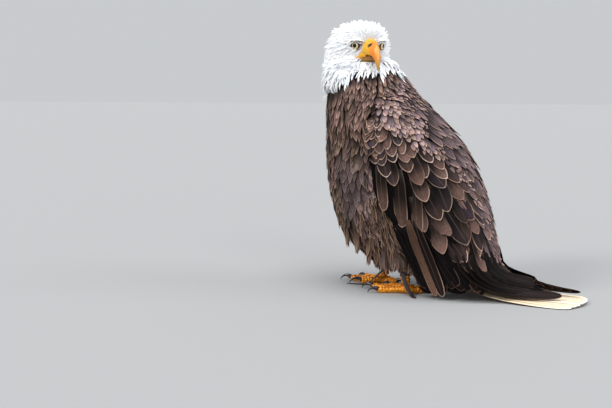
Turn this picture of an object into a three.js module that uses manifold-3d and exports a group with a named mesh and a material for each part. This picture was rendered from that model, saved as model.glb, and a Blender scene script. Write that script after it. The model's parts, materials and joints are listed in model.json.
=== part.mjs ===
import * as THREE from 'three';
import { mergeVertices } from 'three/addons/utils/BufferGeometryUtils.js';
import Module from 'manifold-3d';

// A bald eagle standing on level ground, life size, as a museum model. Millimetres, +Z up.
// The breast faces -Y and the bird's left side is +X. The head is turned over its left side.
// The bird is drawn about a point on the ground between its feet, and centred at the end.

const wasm = await Module();
wasm.setup();

// Driving dimensions, mm and degrees
const gap = 0.3; // clearance between pieces that touch
const headPlace = [9, -77, 501]; // middle of the skull
const headTurn = 130; // from straight ahead, to the bird's left
const headNod = 5; // bill down
const headEgg = 0.16; // how much narrower the face is than the nape
const neckCut = 452; // height where the head is parted from the neck
const breastCut = 408; // height where the neck is parted from the trunk
const eyeRadius = 10.5;
const eyePlace = [23.5, -22, 2.5]; // left eyeball, from the middle of the skull
const browDeep = 5.6; // half height of the ridge over the eye
const gapeDeep = 3; // half height of the fleshy corner of the bill
const wingFlat = 0.82; // power that squares the curve of the back
const wingFrontReach = 170; // how slowly a wing narrows in front of its broadest line
const wingTurnShare = 0.62; // share of the wing's girth that lies round the back
const secondaryCount = 4;
const secondaryScallop = 9; // how far the tips of the secondaries hang below the gaps between them
const secondaryDrop = 13; // how much lower the foremost ones hang
const primaryCount = 6;
const quillThick = 1.6; // half thickness of the closed primaries
const looseHalf = 11.5; // half width of a loose greater covert
const tailTip = 384; // how far back the tail lies
const tailThick = 2.4;
const tailCrown = 6; // how much thicker the folded tail is along its middle
const tailSpread = 60; // half width of the folded tail at its tip
const tailCount = 12;
const thighAside = 57; // how far out the top of a thigh is
const tarsusRadius = 8;
const tarsusFoot = 19; // height where the shank is parted from the foot
const toeHigh = 7; // half height of a toe at its root
const padSize = [15, 17, 10.5]; // half sizes of the pad under the toes
const padRise = 8; // height of the pad's middle
const ankletRise = 44; // height of the middle of each anklet
const ankletHigh = 17;
const ankletThick = 1.8;
const strapWide = 11;
const strapThick = 1.6;

// Each side has its own stance: the foot's pad, the heel joint inside the thigh, how far back the
// wing tip lies, and where the leather strap that leaves the anklet lies on the floor
const sides = [
  {
    name: 'left', sign: 1, pad: [38, 32], hock: [44, 14, 106], wingTip: 338,
    strapLies: [[70, 52], [88, 66]],
  },
  {
    name: 'right', sign: -1, pad: [-36, -42], hock: [-41, -42, 106], wingTip: 366,
    strapLies: [[-3, -72], [1, -128]],
  },
];

const colours = {
  white: 0xf1f1ee, brown: 0x4f3d35, dark: 0x2b2321, tail: 0xe6dac8, skin: 0xe9a01c,
  bill: 0xe8961c, horn: 0x1b1b20, eye: 0xe6dda0, leather: 0x2a1c1a,
};

// Rings down the neck and trunk, each level: front and back in the middle plane, and half width
const trunkRings = [
  { height: 486, front: -122, back: -24, half: 44 },
  { height: 464, front: -156, back: -8, half: 64 },
  { height: 434, front: -162, back: 11, half: 73 },
  { height: 399, front: -159, back: 38, half: 83 },
  { height: 344, front: -156, back: 85, half: 93 },
  { height: 294, front: -157, back: 112, half: 96 },
  { height: 244, front: -155, back: 130, half: 95 },
  { height: 194, front: -148, back: 142, half: 91 },
  { height: 149, front: -135, back: 148, half: 82 },
  { height: 106, front: -110, back: 148, half: 68 },
  { height: 72, front: -66, back: 144, half: 50 },
  { height: 48, front: 12, back: 132, half: 24 },
];

// Rings down the head, in its own frame: the bill points to -Y
const headRings = [
  { height: 47, front: -12, back: 30, half: 16 },
  { height: 41, front: -26, back: 52, half: 33 },
  { height: 30, front: -35, back: 72, half: 47 },
  { height: 16, front: -38, back: 86, half: 55 },
  { height: 0, front: -38, back: 95, half: 59 },
  { height: -16, front: -36, back: 98, half: 62 },
  { height: -32, front: -34, back: 98, half: 65 },
  { height: -50, front: -38, back: 96, half: 68 },
  { height: -66, front: -25, back: 70, half: 50 },
];

// Rings down a folded wing: back is in the middle plane, broadest is where it is half wide,
// edge is its leading edge, and opening is how far its inner edge keeps from the middle plane
const wingRings = [
  { height: 398, back: 36, broadest: -14, half: 84, edge: -22, opening: 52, thick: 8 },
  { height: 346, back: 88, broadest: -4, half: 111, edge: -34, opening: 46, thick: 13 },
  { height: 294, back: 131, broadest: 10, half: 119, edge: -30, opening: 30, thick: 14 },
  { height: 244, back: 158, broadest: 28, half: 118, edge: -24, opening: 12, thick: 13 },
  { height: 194, back: 178, broadest: 50, half: 113, edge: -16, opening: 1, thick: 11 },
  { height: 144, back: 192, broadest: 84, half: 104, edge: 22, opening: 1, thick: 9 },
  { height: 94, back: 203, broadest: 112, half: 93, edge: 44, opening: 1, thick: 7 },
  { height: 56, back: 213, broadest: 128, half: 84, edge: 52, opening: 1, thick: 5 },
  { height: 26, back: 222, broadest: 146, half: 76, edge: 66, opening: 1, thick: 3.5 },
];

// Loose greater coverts hang past the leading edge: [how far back, height of the tip]
const looseTips = [[2, 175], [39, 145], [68, 130], [80, 90]];

// Rings down a thigh, measured from the foot's pad
const thighRings = [
  { height: 204, front: -44, back: 24, half: 20 },
  { height: 178, front: -66, back: 36, half: 33 },
  { height: 140, front: -67, back: 32, half: 34 },
  { height: 104, front: -52, back: 18, half: 28 },
  { height: 76, front: -35, back: 9, half: 19 },
  { height: 56, front: -24, back: 5, half: 13 },
];

// Rings along the bill, from the brow to the point: ridge above, biting edge below, half width
const billRings = [
  { ridgeY: -30, ridgeZ: 15, edgeY: -28, edgeZ: -20, half: 15.5 },
  { ridgeY: -45, ridgeZ: 15, edgeY: -45, edgeZ: -21, half: 14 },
  { ridgeY: -62, ridgeZ: 11.5, edgeY: -60, edgeZ: -20, half: 11.5 },
  { ridgeY: -77, ridgeZ: 3, edgeY: -68, edgeZ: -19, half: 8.8 },
  { ridgeY: -86, ridgeZ: -11, edgeY: -74, edgeZ: -21, half: 6.4 },
  { ridgeY: -90, ridgeZ: -27, edgeY: -81, edgeZ: -29, half: 4.2 },
  { ridgeY: -89, ridgeZ: -42, edgeY: -85, edgeZ: -43, half: 1.6 },
];
const jawRings = [
  { ridgeY: -20, ridgeZ: -20, edgeY: -22, edgeZ: -30, half: 13 },
  { ridgeY: -42, ridgeZ: -21.6, edgeY: -42, edgeZ: -31, half: 10.5 },
  { ridgeY: -58, ridgeZ: -21.4, edgeY: -58, edgeZ: -29.5, half: 8.5 },
  { ridgeY: -69, ridgeZ: -21.4, edgeY: -69, edgeZ: -26, half: 5 },
];
const gapePath = [[7, -54, -14], [15, -44, -18], [21, -34, -20.5], [24, -24, -22], [25.5, -14, -24]];

// Toes: angle from straight ahead (outwards positive), length to the claw, half width, claw length
const toes = [
  { name: 'inner', angle: -27, length: 56, half: 7.4, claw: 32 },
  { name: 'middle', angle: -2, length: 82, half: 7.2, claw: 29 },
  { name: 'outer', angle: 24, length: 66, half: 6.8, claw: 25 },
  { name: 'hind', angle: 192, length: 34, half: 7.6, claw: 36 },
];

const vector = (x, y, z) => new THREE.Vector3(x, y, z);
const { lerp: blend, clamp, degToRad: radians } = THREE.MathUtils;
const bulge = (value, power) => Math.sign(value) * Math.abs(value) ** power;

// A three.js geometry whose shared vertices are merged becomes a solid that can be cut
function toSolid(geometry) {
  const plain = geometry.clone();
  plain.deleteAttribute('normal');
  plain.deleteAttribute('uv');
  const merged = mergeVertices(plain, 1e-4);
  return new wasm.Manifold(new wasm.Mesh({
    numProp: 3,
    vertProperties: new Float32Array(merged.attributes.position.array),
    triVerts: new Uint32Array(merged.index.array),
  }));
}

function toGeometry(solid) {
  const { vertProperties, triVerts } = solid.getMesh();
  const geometry = new THREE.BufferGeometry();
  geometry.setAttribute('position', new THREE.BufferAttribute(new Float32Array(vertProperties), 3));
  geometry.setIndex(new THREE.BufferAttribute(new Uint32Array(triVerts), 1));
  geometry.computeVertexNormals();
  return geometry;
}

const join = (solids) => solids.reduce((whole, solid) => whole.add(solid));

// Boxes that reach past the bird, to cut it above, below or on one side of a plane
const far = 900;
function room(low, high) {
  const size = high.map((value, i) => value - low[i]);
  const middle = high.map((value, i) => (value + low[i]) / 2);
  return toSolid(new THREE.BoxGeometry(...size).translate(...middle));
}
const above = (height) => room([-far, -far, height], [far, far, far]);
const below = (height) => room([-far, -far, -far], [far, far, height]);
const beside = (sign) => (sign > 0
  ? room([gap / 2, -far, 0], [far, far, far])
  : room([-far, -far, 0], [-gap / 2, far, far]));

// Moves every point of a geometry by a rule
function shape(geometry, rule) {
  const places = geometry.attributes.position;
  const point = vector(0, 0, 0);
  for (let i = 0; i < places.count; i += 1) {
    rule(point.fromBufferAttribute(places, i));
    places.setXYZ(i, point.x, point.y, point.z);
  }
  return geometry;
}

// Turns a plate's faces over, where its rule has mirrored it
function turnOver(geometry) {
  geometry.index.array.reverse();
  return geometry;
}

// Reads a list of rings at any share of the way down, on smooth curves
function along(rings, share) {
  const read = (key) => {
    const points = rings.map((ring, i) => vector(i, ring[key], 0));
    return new THREE.CatmullRomCurve3(points, false, 'catmullrom', 0.5).getPoint(share).y;
  };
  return Object.fromEntries(Object.keys(rings[0]).map((key) => [key, read(key)]));
}

// On a ball's point: its share of the way down, its angle round, and 0 at a pole or 1 elsewhere
function readBall(point) {
  return {
    share: Math.acos(clamp(point.y, -1, 1)) / Math.PI,
    turn: Math.atan2(point.x, point.z),
    radius: Math.hypot(point.x, point.z) < 1e-6 ? 0 : 1,
  };
}

// A closed body through level rings. Egg narrows its front, and spare swells it, so that it can
// cut a neighbour with clearance.
function ringBody(rings, around, down, { flat, egg = 0, spare = 0 }) {
  return shape(new THREE.SphereGeometry(1, around, down), (point) => {
    const { share, turn, radius } = readBall(point);
    const { height, front, back, half } = along(rings, share);
    const toFront = Math.cos(turn);
    const reach = (back - front) / 2 + spare;
    const side = radius * (half + spare) * bulge(Math.sin(turn), flat) * (1 - egg * toFront);
    point.set(side, (front + back) / 2 - radius * reach * bulge(toFront, flat), height);
  });
}

// A closed body swept along a curve: wide(t) across and deep(t) through, both half sizes
function sweep(curve, side, wide, deep, around, steps) {
  return shape(new THREE.SphereGeometry(1, around, steps), (point) => {
    const { share, turn, radius } = readBall(point);
    const spot = curve.getPoint(share);
    const ahead = curve.getTangent(share);
    const across = side(share).clone();
    across.addScaledVector(ahead, -across.dot(ahead)).normalize();
    const through = vector(0, 0, 0).crossVectors(across, ahead);
    spot.addScaledVector(across, radius * wide(share) * Math.cos(turn));
    spot.addScaledVector(through, radius * deep(share) * Math.sin(turn));
    point.copy(spot);
  });
}

// Half width along a feather or a toe: it fills by t = root, and its tip rounds off after t = tip
function roundEnds(t, root, tip) {
  const fall = clamp((t - tip) / (1 - tip), 0, 1);
  return Math.min(1, t / root + 0.25) * Math.sqrt(1 - fall ** 2);
}

// How far each feather of a closed fan falls short: a step for each, with a round end
function fanEdge(v, count, step, round) {
  const place = Math.min(v * count, count - 0.001);
  const within = place - Math.floor(place);
  return step * Math.floor(place) + round * (2 * within - 1) ** 2;
}

// Head, in its own frame
function headSolid() {
  const skull = toSolid(ringBody(headRings, 20, 9, { flat: 0.86, egg: headEgg }));
  const brows = [1, -1].map((sign) => {
    const ridge = new THREE.QuadraticBezierCurve3(
      vector(sign * 15, -39, 12),
      vector(sign * 33, -34, 14),
      vector(sign * 40, -12, 7),
    );
    const deep = (t) => browDeep * Math.sin(Math.PI * blend(0.12, 0.92, t));
    return toSolid(sweep(ridge, () => vector(0, 0, 1), (t) => deep(t) * 0.62, deep, 6, 6));
  });
  return join([skull, ...brows]);
}

function eyeball(sign, spare = 0) {
  const ball = new THREE.SphereGeometry(eyeRadius + spare, 10, 7).rotateX(Math.PI / 2);
  return ball.translate(sign * eyePlace[0], eyePlace[1], eyePlace[2]);
}

// The bill's rings stand up from the biting edge to the ridge, broadest near the edge
function billBody(rings, around, steps, spare) {
  return toSolid(shape(new THREE.SphereGeometry(1, around, steps), (point) => {
    const { share, turn, radius } = readBall(point);
    const level = along(rings, share);
    const rise = vector(0, level.ridgeY - level.edgeY, level.ridgeZ - level.edgeZ).divideScalar(2);
    const middle = vector(0, level.edgeY, level.edgeZ).add(rise);
    rise.setLength(rise.length() + spare);
    point.copy(middle).addScaledVector(rise, radius * bulge(Math.cos(turn), 0.8));
    point.x = radius * (level.half + spare) * Math.sin(turn) * (1 - 0.25 * Math.cos(turn));
  }));
}

function upperBill(spare = 0) {
  const gapes = [1, -1].map((sign) => {
    const path = new THREE.CatmullRomCurve3(gapePath.map(([x, y, z]) => vector(sign * x, y, z)));
    const deep = (t) => (gapeDeep + spare) * roundEnds(t, 0.2, 0.6) + 0.4;
    return toSolid(sweep(path, () => vector(0, 0, 1), deep, deep, 6, 5));
  });
  return join([billBody(billRings, 10, 9, spare), ...gapes]);
}

const lowerBill = (spare = 0) => billBody(jawRings, 10, 6, spare);

// A point on the folded wing: v runs from its inner edge (0) round to its leading edge (1)
function wingPoint(sign, share, v, inset) {
  const ring = along(wingRings, share);
  const half = ring.half - inset;
  const reach = ring.back - ring.broadest - inset;
  const start = Math.asin(clamp(ring.opening / half, 0, 1) ** (1 / wingFlat));
  if (v < wingTurnShare) {
    const turn = blend(start, Math.PI / 2, v / wingTurnShare);
    return vector(
      sign * half * bulge(Math.sin(turn), wingFlat),
      ring.broadest + reach * bulge(Math.cos(turn), wingFlat),
      ring.height,
    );
  }
  const y = blend(ring.broadest, ring.edge, (v - wingTurnShare) / (1 - wingTurnShare));
  const fall = Math.sqrt(1 - ((ring.broadest - y) / wingFrontReach) ** 2);
  return vector(sign * half * fall, y, ring.height);
}

// The share of the way down a wing at a height, found by halving
function wingShare(height) {
  let [low, high] = [0, 1];
  for (let i = 0; i < 24; i += 1) {
    const middle = (low + high) / 2;
    if (along(wingRings, middle).height > height) low = middle;
    else high = middle;
  }
  return low;
}

// The wing's arm, coverts and secondaries: a plate bent round the body. outward, inward and
// spare widen its faces and edges, to cut the trunk with clearance.
function wingPlate(sign, { outward = 0, inward = 0, spare = 0 } = {}) {
  const plate = new THREE.BoxGeometry(1, 1, 1, 9, 12, 1);
  shape(plate, (point) => {
    const share = point.x + 0.5;
    const v = point.y + 0.5;
    const outside = point.z > 0;
    const { thick } = along(wingRings, share);
    const taper = 0.3 + 0.7 * Math.sqrt(Math.sin(Math.PI * blend(0.035, 0.965, v)));
    point.copy(wingPoint(sign, share, v, outside ? -outward : thick * taper + inward));
    const scallop = secondaryScallop * Math.abs(Math.sin(Math.PI * v * secondaryCount));
    point.z -= (scallop + secondaryDrop * v ** 2) * share ** 6;
    if (v > 0.999) point.y -= spare;
    if (v < 0.001) point.x -= sign * spare;
    if (share < 0.001) point.z += spare;
  });
  return toSolid(sign > 0 ? turnOver(plate) : plate);
}

function looseCoverts({ sign }) {
  return looseTips.map(([y, tip], i) => {
    const root = wingPoint(sign, wingShare(tip + 70), 0.97 - 0.05 * i, 5);
    const end = vector(sign * (106 - 3 * i), y, tip);
    const middle = root.clone().lerp(end, 0.55).add(vector(sign * 2, 0, 0));
    const curve = new THREE.CatmullRomCurve3([root, middle, end]);
    const wide = (t) => looseHalf * roundEnds(t, 0.25, 0.75);
    return toSolid(sweep(curve, () => vector(0, 1, 0), wide, () => quillThick / 2 + 0.2, 4, 7));
  });
}

// The primaries, closed like a fan, run out of the wing's foot and lie back over the tail
function primaries({ sign, wingTip }) {
  const curveAt = (v) => {
    const lie = blend(0.5, 0.14, v);
    return new THREE.CatmullRomCurve3([
      wingPoint(sign, wingShare(96), lie, 3.5),
      wingPoint(sign, wingShare(58), lie, 3.5),
      vector(sign * blend(60, 30, v), blend(212, 236, v), blend(25, 45, v)),
      vector(sign * blend(42, 16, v), blend(262, 292, v), blend(19, 34, v)),
      vector(sign * blend(25, 7, v), wingTip, blend(17, 27, v)),
    ]);
  };
  const plate = new THREE.BoxGeometry(1, 1, 1, 6, primaryCount * 2, 1);
  shape(plate, (point) => {
    const v = point.y + 0.5;
    const length = 1 - fanEdge(v, primaryCount, 0.042, 0.03);
    const spot = curveAt(v).getPoint((point.x + 0.5) * length);
    const lift = point.z > 0 ? quillThick : -quillThick;
    point.set(spot.x + sign * lift * 0.6, spot.y, spot.z + lift * 0.8);
  });
  return toSolid(sign < 0 ? turnOver(plate) : plate);
}

function wingSolid(side) {
  return join([wingPlate(side.sign), primaries(side), ...looseCoverts(side)]).intersect(beside(side.sign));
}

// The tail feathers laid along the floor, under a wedge of tail coverts
function tailSolid() {
  const plate = new THREE.BoxGeometry(1, 1, 1, 6, tailCount * 2, 1);
  shape(plate, (point) => {
    const v = point.y + 0.5;
    const aside = v * 2 - 1;
    const curve = new THREE.CatmullRomCurve3([
      vector(aside * 17, 118, 44),
      vector(aside * 30, 158, 19),
      vector(aside * 42, 214, 5),
      vector(aside * 54, 300, 1.2),
      vector(aside * tailSpread, tailTip, 1.2),
    ]);
    const length = 1 - fanEdge(v, tailCount, 0, 0.022) - 0.06 * aside ** 2;
    const spot = curve.getPoint((point.x + 0.5) * length);
    const top = tailThick + tailCrown * (1 - aside ** 2);
    point.set(spot.x, spot.y, spot.z + (point.z > 0 ? top : -tailThick));
  });
  const covertLine = new THREE.CatmullRomCurve3([
    vector(0, 88, 46),
    vector(0, 130, 30),
    vector(0, 178, 12),
    vector(0, 240, 4),
  ]);
  const wide = (t) => 38 * roundEnds(t, 0.5, 0.35) + 2;
  const coverts = sweep(covertLine, () => vector(1, 0, 0), wide, (t) => blend(17, 4, t), 10, 6);
  return join([toSolid(turnOver(plate)), toSolid(coverts)]).intersect(above(0));
}

// The feathered thigh leans in from the hip to the bare shank
function thighSolid({ sign, pad }, spare = 0) {
  const top = thighRings[0].height;
  const foot = thighRings[thighRings.length - 1].height;
  const body = ringBody(thighRings, 12, 8, { flat: 0.95, spare });
  return toSolid(shape(body, (point) => {
    const share = (top - point.z) / (top - foot);
    point.x += sign * blend(thighAside, pad[0] * sign + 3, share);
    point.y += pad[1];
  }));
}

const shankCurve = ({ pad, hock }) => new THREE.LineCurve3(vector(...pad, padRise), vector(...hock));

function shankSolid(side, spare = 0) {
  const girth = (t) => tarsusRadius + spare + 2.2 * Math.exp(-((t * 9) ** 2));
  return toSolid(sweep(shankCurve(side), () => vector(1, 0, 0), girth, girth, 12, 6));
}

// The direction of a toe along the floor, and the direction across it
function toeFrame({ sign }, { angle }) {
  const turn = radians(angle) * sign;
  const ahead = vector(Math.sin(turn), -Math.cos(turn), 0);
  return { ahead, across: vector(-ahead.y, ahead.x, 0) };
}

// A toe has a swell at each joint, and its underside is cut flat by the floor
function toeSolid(side, toe) {
  const { ahead, across } = toeFrame(side, toe);
  const at = (share, height) => vector(...side.pad, height).addScaledVector(ahead, toe.length * share);
  const curve = new THREE.CatmullRomCurve3([at(0, 8.5), at(0.35, 7), at(0.7, 6), at(1.02, 6.6)]);
  const swell = (t) => (1 - 0.1 * Math.cos(t * Math.PI * 6)) * roundEnds(t, 0.1, 0.9);
  const wide = (t) => toe.half * blend(1.12, 0.8, t) * swell(t);
  const deep = (t) => toeHigh * blend(1.2, 0.92, t) * swell(t);
  return toSolid(sweep(curve, () => across, wide, deep, 7, 6));
}

function footSolid(side) {
  const pad = new THREE.SphereGeometry(1, 10, 5).scale(...padSize).translate(...side.pad, padRise);
  return join([toSolid(pad), ...toes.map((toe) => toeSolid(side, toe))]).intersect(above(0));
}

// A claw bends down in an arc from the end of its toe until its point nearly meets the floor
function clawSolid(side, toe, spare = 0) {
  const { ahead, across } = toeFrame(side, toe);
  const bendRadius = toe.claw * 0.52;
  const [rootTurn, tipTurn] = [radians(-42), radians(68)];
  const tipRise = 0.9;
  const steps = 6;
  const points = Array.from({ length: steps + 1 }, (_, i) => {
    const turn = blend(rootTurn, tipTurn, i / steps);
    const forward = bendRadius * (Math.sin(turn) - Math.sin(rootTurn));
    const rise = bendRadius * (Math.cos(turn) - Math.cos(rootTurn));
    return vector(...side.pad, 8 + rise).addScaledVector(ahead, toe.length - 5 + forward);
  });
  const tooHigh = points[steps].z - tipRise;
  points.forEach((point, i) => {
    point.z -= tooHigh * (i / steps) ** 2;
  });
  const deep = (t) => blend(5.2, 0.55, t ** 0.8) + spare;
  const curve = new THREE.CatmullRomCurve3(points);
  return toSolid(sweep(curve, () => across, (t) => deep(t) * 0.85, deep, 5, 6));
}

function ankletPose(side) {
  const { v1: low, v2: high } = shankCurve(side);
  const lie = high.clone().sub(low).normalize();
  return { lie, place: low.clone().addScaledVector(lie, (ankletRise - low.z) / lie.z) };
}

// A leather cuff round the shank, clear of it by a hair
function ankletSolid(side) {
  const inner = tarsusRadius + gap;
  const outer = inner + ankletThick;
  const end = ankletHigh / 2;
  const profile = [[inner, -end], [outer, -end], [outer, end], [inner, end], [inner, -end]];
  const cuff = new THREE.LatheGeometry(profile.map(([x, y]) => new THREE.Vector2(x, y)), 14);
  const { place, lie } = ankletPose(side);
  const lean = new THREE.Quaternion().setFromUnitVectors(vector(0, 1, 0), lie);
  return toSolid(cuff.applyQuaternion(lean).translate(place.x, place.y, place.z));
}

// A short strap falls from the left of the anklet and lies on the floor
function jessSolid(side) {
  const { place } = ankletPose(side);
  const start = tarsusRadius + ankletThick + 2 * gap + strapThick / 2 + 0.8;
  const [first, last] = side.strapLies;
  const route = new THREE.CatmullRomCurve3([
    vector(place.x + start, place.y + 2, place.z + 5),
    vector(place.x + start + 2, place.y + 3, place.z - 9),
    vector(blend(place.x + start, first[0], 0.5), blend(place.y, first[1], 0.45), 17),
    vector(...first, strapThick / 2 + 1),
    vector(blend(first[0], last[0], 0.4), blend(first[1], last[1], 0.4), strapThick / 2),
    vector(...last, strapThick / 2),
  ]);
  const flat = vector(last[1] - first[1], first[0] - last[0], 0).setLength(-1);
  const across = (t) => vector(0, 1, 0).lerp(flat, clamp(t * 1.5, 0, 1));
  const strap = sweep(route, across, () => strapWide / 2, () => strapThick / 2, 8, 8);
  return toSolid(strap).intersect(above(0));
}

const eagle = new THREE.Group();

function addMesh(name, solid, colour, roughness) {
  const finish = new THREE.MeshStandardMaterial({ color: colour, roughness, metalness: 0 });
  const mesh = new THREE.Mesh(toGeometry(solid), finish);
  mesh.name = name;
  eagle.add(mesh);
}

// The head's pieces are made in its own frame, then turned and set on the neck
const headPose = new THREE.Matrix4().compose(
  vector(...headPlace),
  new THREE.Quaternion().setFromEuler(new THREE.Euler(radians(headNod), 0, radians(headTurn), 'ZXY')),
  vector(1, 1, 1),
);
const posed = (solid) => toSolid(toGeometry(solid).applyMatrix4(headPose));

const trunkSolid = (spare = 0) => toSolid(ringBody(trunkRings, 20, 13, { flat: 0.92, spare }));
const eyeSolids = sides.map(({ sign }) => toSolid(eyeball(sign)));
const eyeRooms = sides.map(({ sign }) => toSolid(eyeball(sign, gap)));
const faceRooms = join([...eyeRooms, upperBill(gap), lowerBill(gap)]);

// Head, neck and trunk are one body, parted by thin level cuts
const flesh = join([trunkSolid(), posed(headSolid())]);
const wingRooms = sides.map(({ sign }) => wingPlate(sign, { outward: 6, inward: gap, spare: gap }));
const thighRooms = sides.map((side) => thighSolid(side, 2 * gap));
const shankRooms = sides.map((side) => shankSolid(side, gap));
const trunkRooms = join([...wingRooms, ...thighRooms, ...shankRooms]);
addMesh('head', flesh.intersect(above(neckCut)).subtract(posed(faceRooms)), colours.white, 0.9);
addMesh('neck', flesh.intersect(above(breastCut)).intersect(below(neckCut - gap)), colours.white, 0.9);
addMesh('trunk', flesh.intersect(below(breastCut - gap)).subtract(trunkRooms), colours.brown, 0.9);
addMesh('bill_upper', posed(upperBill()), colours.bill, 0.35);
addMesh('bill_lower', posed(lowerBill().subtract(upperBill(gap))), colours.bill, 0.4);
addMesh('tail', tailSolid().subtract(trunkSolid(gap)), colours.tail, 0.8);

sides.forEach((side, i) => {
  const { name } = side;
  const thigh = thighSolid(side).subtract(join([shankRooms[i], wingRooms[i]]));
  const clawRooms = join(toes.map((toe) => clawSolid(side, toe, gap)));
  const foot = footSolid(side).intersect(below(tarsusFoot - gap)).subtract(clawRooms);
  addMesh(`eye_${name}`, posed(eyeSolids[i]), colours.eye, 0.1);
  addMesh(`wing_${name}`, wingSolid(side), colours.dark, 0.8);
  addMesh(`thigh_${name}`, thigh, colours.brown, 0.9);
  addMesh(`shank_${name}`, shankSolid(side).intersect(above(tarsusFoot)), colours.skin, 0.6);
  addMesh(`foot_${name}`, foot, colours.skin, 0.6);
  toes.forEach((toe) => {
    addMesh(`claw_${toe.name}_${name}`, clawSolid(side, toe), colours.horn, 0.3);
  });
  addMesh(`anklet_${name}`, ankletSolid(side), colours.leather, 0.6);
  addMesh(`jess_${name}`, jessSolid(side), colours.leather, 0.6);
});

// The origin is on the ground at the middle of the bird's box
const middle = new THREE.Box3().setFromObject(eagle).getCenter(vector(0, 0, 0));
eagle.position.set(-middle.x, -middle.y, 0);

export default eagle;
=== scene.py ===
import json
import math
from functools import partial

import bpy
import numpy as np
from mathutils import Matrix, Vector, noise
from mathutils.bvhtree import BVHTree

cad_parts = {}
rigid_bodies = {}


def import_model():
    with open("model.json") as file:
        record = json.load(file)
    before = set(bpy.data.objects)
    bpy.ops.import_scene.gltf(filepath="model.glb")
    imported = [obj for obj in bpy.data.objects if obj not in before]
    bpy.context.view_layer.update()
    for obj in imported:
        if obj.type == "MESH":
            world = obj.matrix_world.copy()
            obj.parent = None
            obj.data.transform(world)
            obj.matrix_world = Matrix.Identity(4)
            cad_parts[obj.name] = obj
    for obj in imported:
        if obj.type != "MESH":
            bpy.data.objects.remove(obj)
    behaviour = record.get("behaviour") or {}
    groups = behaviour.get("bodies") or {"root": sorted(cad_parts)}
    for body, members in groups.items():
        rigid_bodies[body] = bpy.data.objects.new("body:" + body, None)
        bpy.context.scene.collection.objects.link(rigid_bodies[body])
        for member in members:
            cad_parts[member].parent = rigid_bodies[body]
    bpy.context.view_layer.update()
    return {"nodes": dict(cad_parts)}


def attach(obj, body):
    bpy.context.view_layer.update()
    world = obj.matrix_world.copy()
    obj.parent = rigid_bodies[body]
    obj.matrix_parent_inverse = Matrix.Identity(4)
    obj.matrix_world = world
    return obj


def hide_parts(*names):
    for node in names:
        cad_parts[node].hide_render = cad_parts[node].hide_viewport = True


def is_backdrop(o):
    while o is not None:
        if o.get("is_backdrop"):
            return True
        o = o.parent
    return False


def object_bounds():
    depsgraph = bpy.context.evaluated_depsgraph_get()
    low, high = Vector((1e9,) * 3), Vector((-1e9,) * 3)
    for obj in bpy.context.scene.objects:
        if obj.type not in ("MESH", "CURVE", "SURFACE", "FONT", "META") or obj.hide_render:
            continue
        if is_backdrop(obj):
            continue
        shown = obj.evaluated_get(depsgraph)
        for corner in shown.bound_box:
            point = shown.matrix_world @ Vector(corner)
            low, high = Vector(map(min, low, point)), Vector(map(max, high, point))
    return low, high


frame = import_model()
nodes = frame["nodes"]
rng = np.random.default_rng(11)

# The bird is measured in mm from a point on the floor between its feet, breast to -Y and its
# left side to +X. The frame's own origin is the middle of its box.
birdShift = Vector((0, -0.10573, 0))


def place(x, y, z):
    return Vector((x, y, z)) / 1000 + birdShift


# The head has a frame of its own, bill to -Y: turned over the left side, and nodding a little
headPose = (Matrix.Translation(place(9, -77, 501))
            @ Matrix.Rotation(math.radians(130), 4, "Z")
            @ Matrix.Rotation(math.radians(5), 4, "X"))
headBack = headPose.inverted()


# The camera that looks at the bird's left side, and the lamps
view = {"azimuth": 108, "focal": 55, "distance": 1936, "height": 408, "aside": 5.74, "down": 6.83,
        "sensor": 36, "clipEnd": 50}


def addCamera():
    turn = math.radians(view["azimuth"])
    spot = place(view["distance"] * math.sin(turn), -view["distance"] * math.cos(turn), view["height"])
    bpy.ops.object.camera_add(location=spot)
    camera = bpy.context.object
    camera.rotation_euler = (math.radians(90 - view["down"]), 0, turn + math.radians(view["aside"]))
    camera.data.lens = view["focal"]
    camera.data.sensor_width = view["sensor"]
    camera.data.clip_end = view["clipEnd"]
    bpy.context.scene.camera = camera


def addLight(name, spot, spread, power, colour, aim=(0, 0, 0.3)):
    # a broad soft lamp far off, so that the floor is lit evenly to its edge
    bpy.ops.object.light_add(type="SUN", location=spot)
    lamp = bpy.context.object
    lamp.name = name
    lamp.rotation_euler = (Vector(aim) - Vector(spot)).to_track_quat("-Z", "Y").to_euler()
    lamp.data.angle = math.radians(spread)
    lamp.data.energy = power
    lamp.data.color = colour


def smoothstep(low, high, value):
    share = np.clip((value - low) / (high - low), 0, 1)
    return share * share * (3 - 2 * share)


def fade(first, second, share):
    return first * (1 - share) + second * share


def unit(vectors):
    return vectors / (np.linalg.norm(vectors, axis=-1, keepdims=True) + 1e-9)


def columns(*values):
    # side by side, each a number or one value for each row
    return np.stack(np.broadcast_arrays(*values), 1)


def noiseAt(spots):
    # a smooth random number from -1 to 1 at each place
    return np.array([noise.noise(Vector(s)) for s in spots])


def ripple(spots, scale, seed):
    # the same, about scale mm across
    return noiseAt(spots * 1000 / scale + [seed, seed * 1.7, 0])


def between(low, high, count):
    return low + (high - low) * rng.random(count)


def tone(code):
    # an sRGB hex value as the linear colour Blender works in
    parts = [int(code[i:i + 2], 16) / 255 for i in (0, 2, 4)]
    return np.array([p / 12.92 if p <= 0.04045 else ((p + 0.055) / 1.055) ** 2.4 for p in parts])


def coloured(base, *coats):
    # a colour with others laid over it, each as the colour and its share at each point;
    # a colour is a code, or an array with one row for each point
    made = tone(base) if isinstance(base, str) else base
    for over, share in coats:
        made = fade(made, tone(over) if isinstance(over, str) else over, np.reshape(share, (-1, 1)))
    return made


def mixTones(codes, count, spread=0.5):
    # each feather's colour: one of the tones, part mixed with another
    palette = np.array([tone(code) for code in codes])
    first = palette[rng.choice(len(codes), count)]
    second = palette[rng.choice(len(codes), count)]
    return fade(first, second, rng.random(count)[:, None] * spread)


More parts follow.
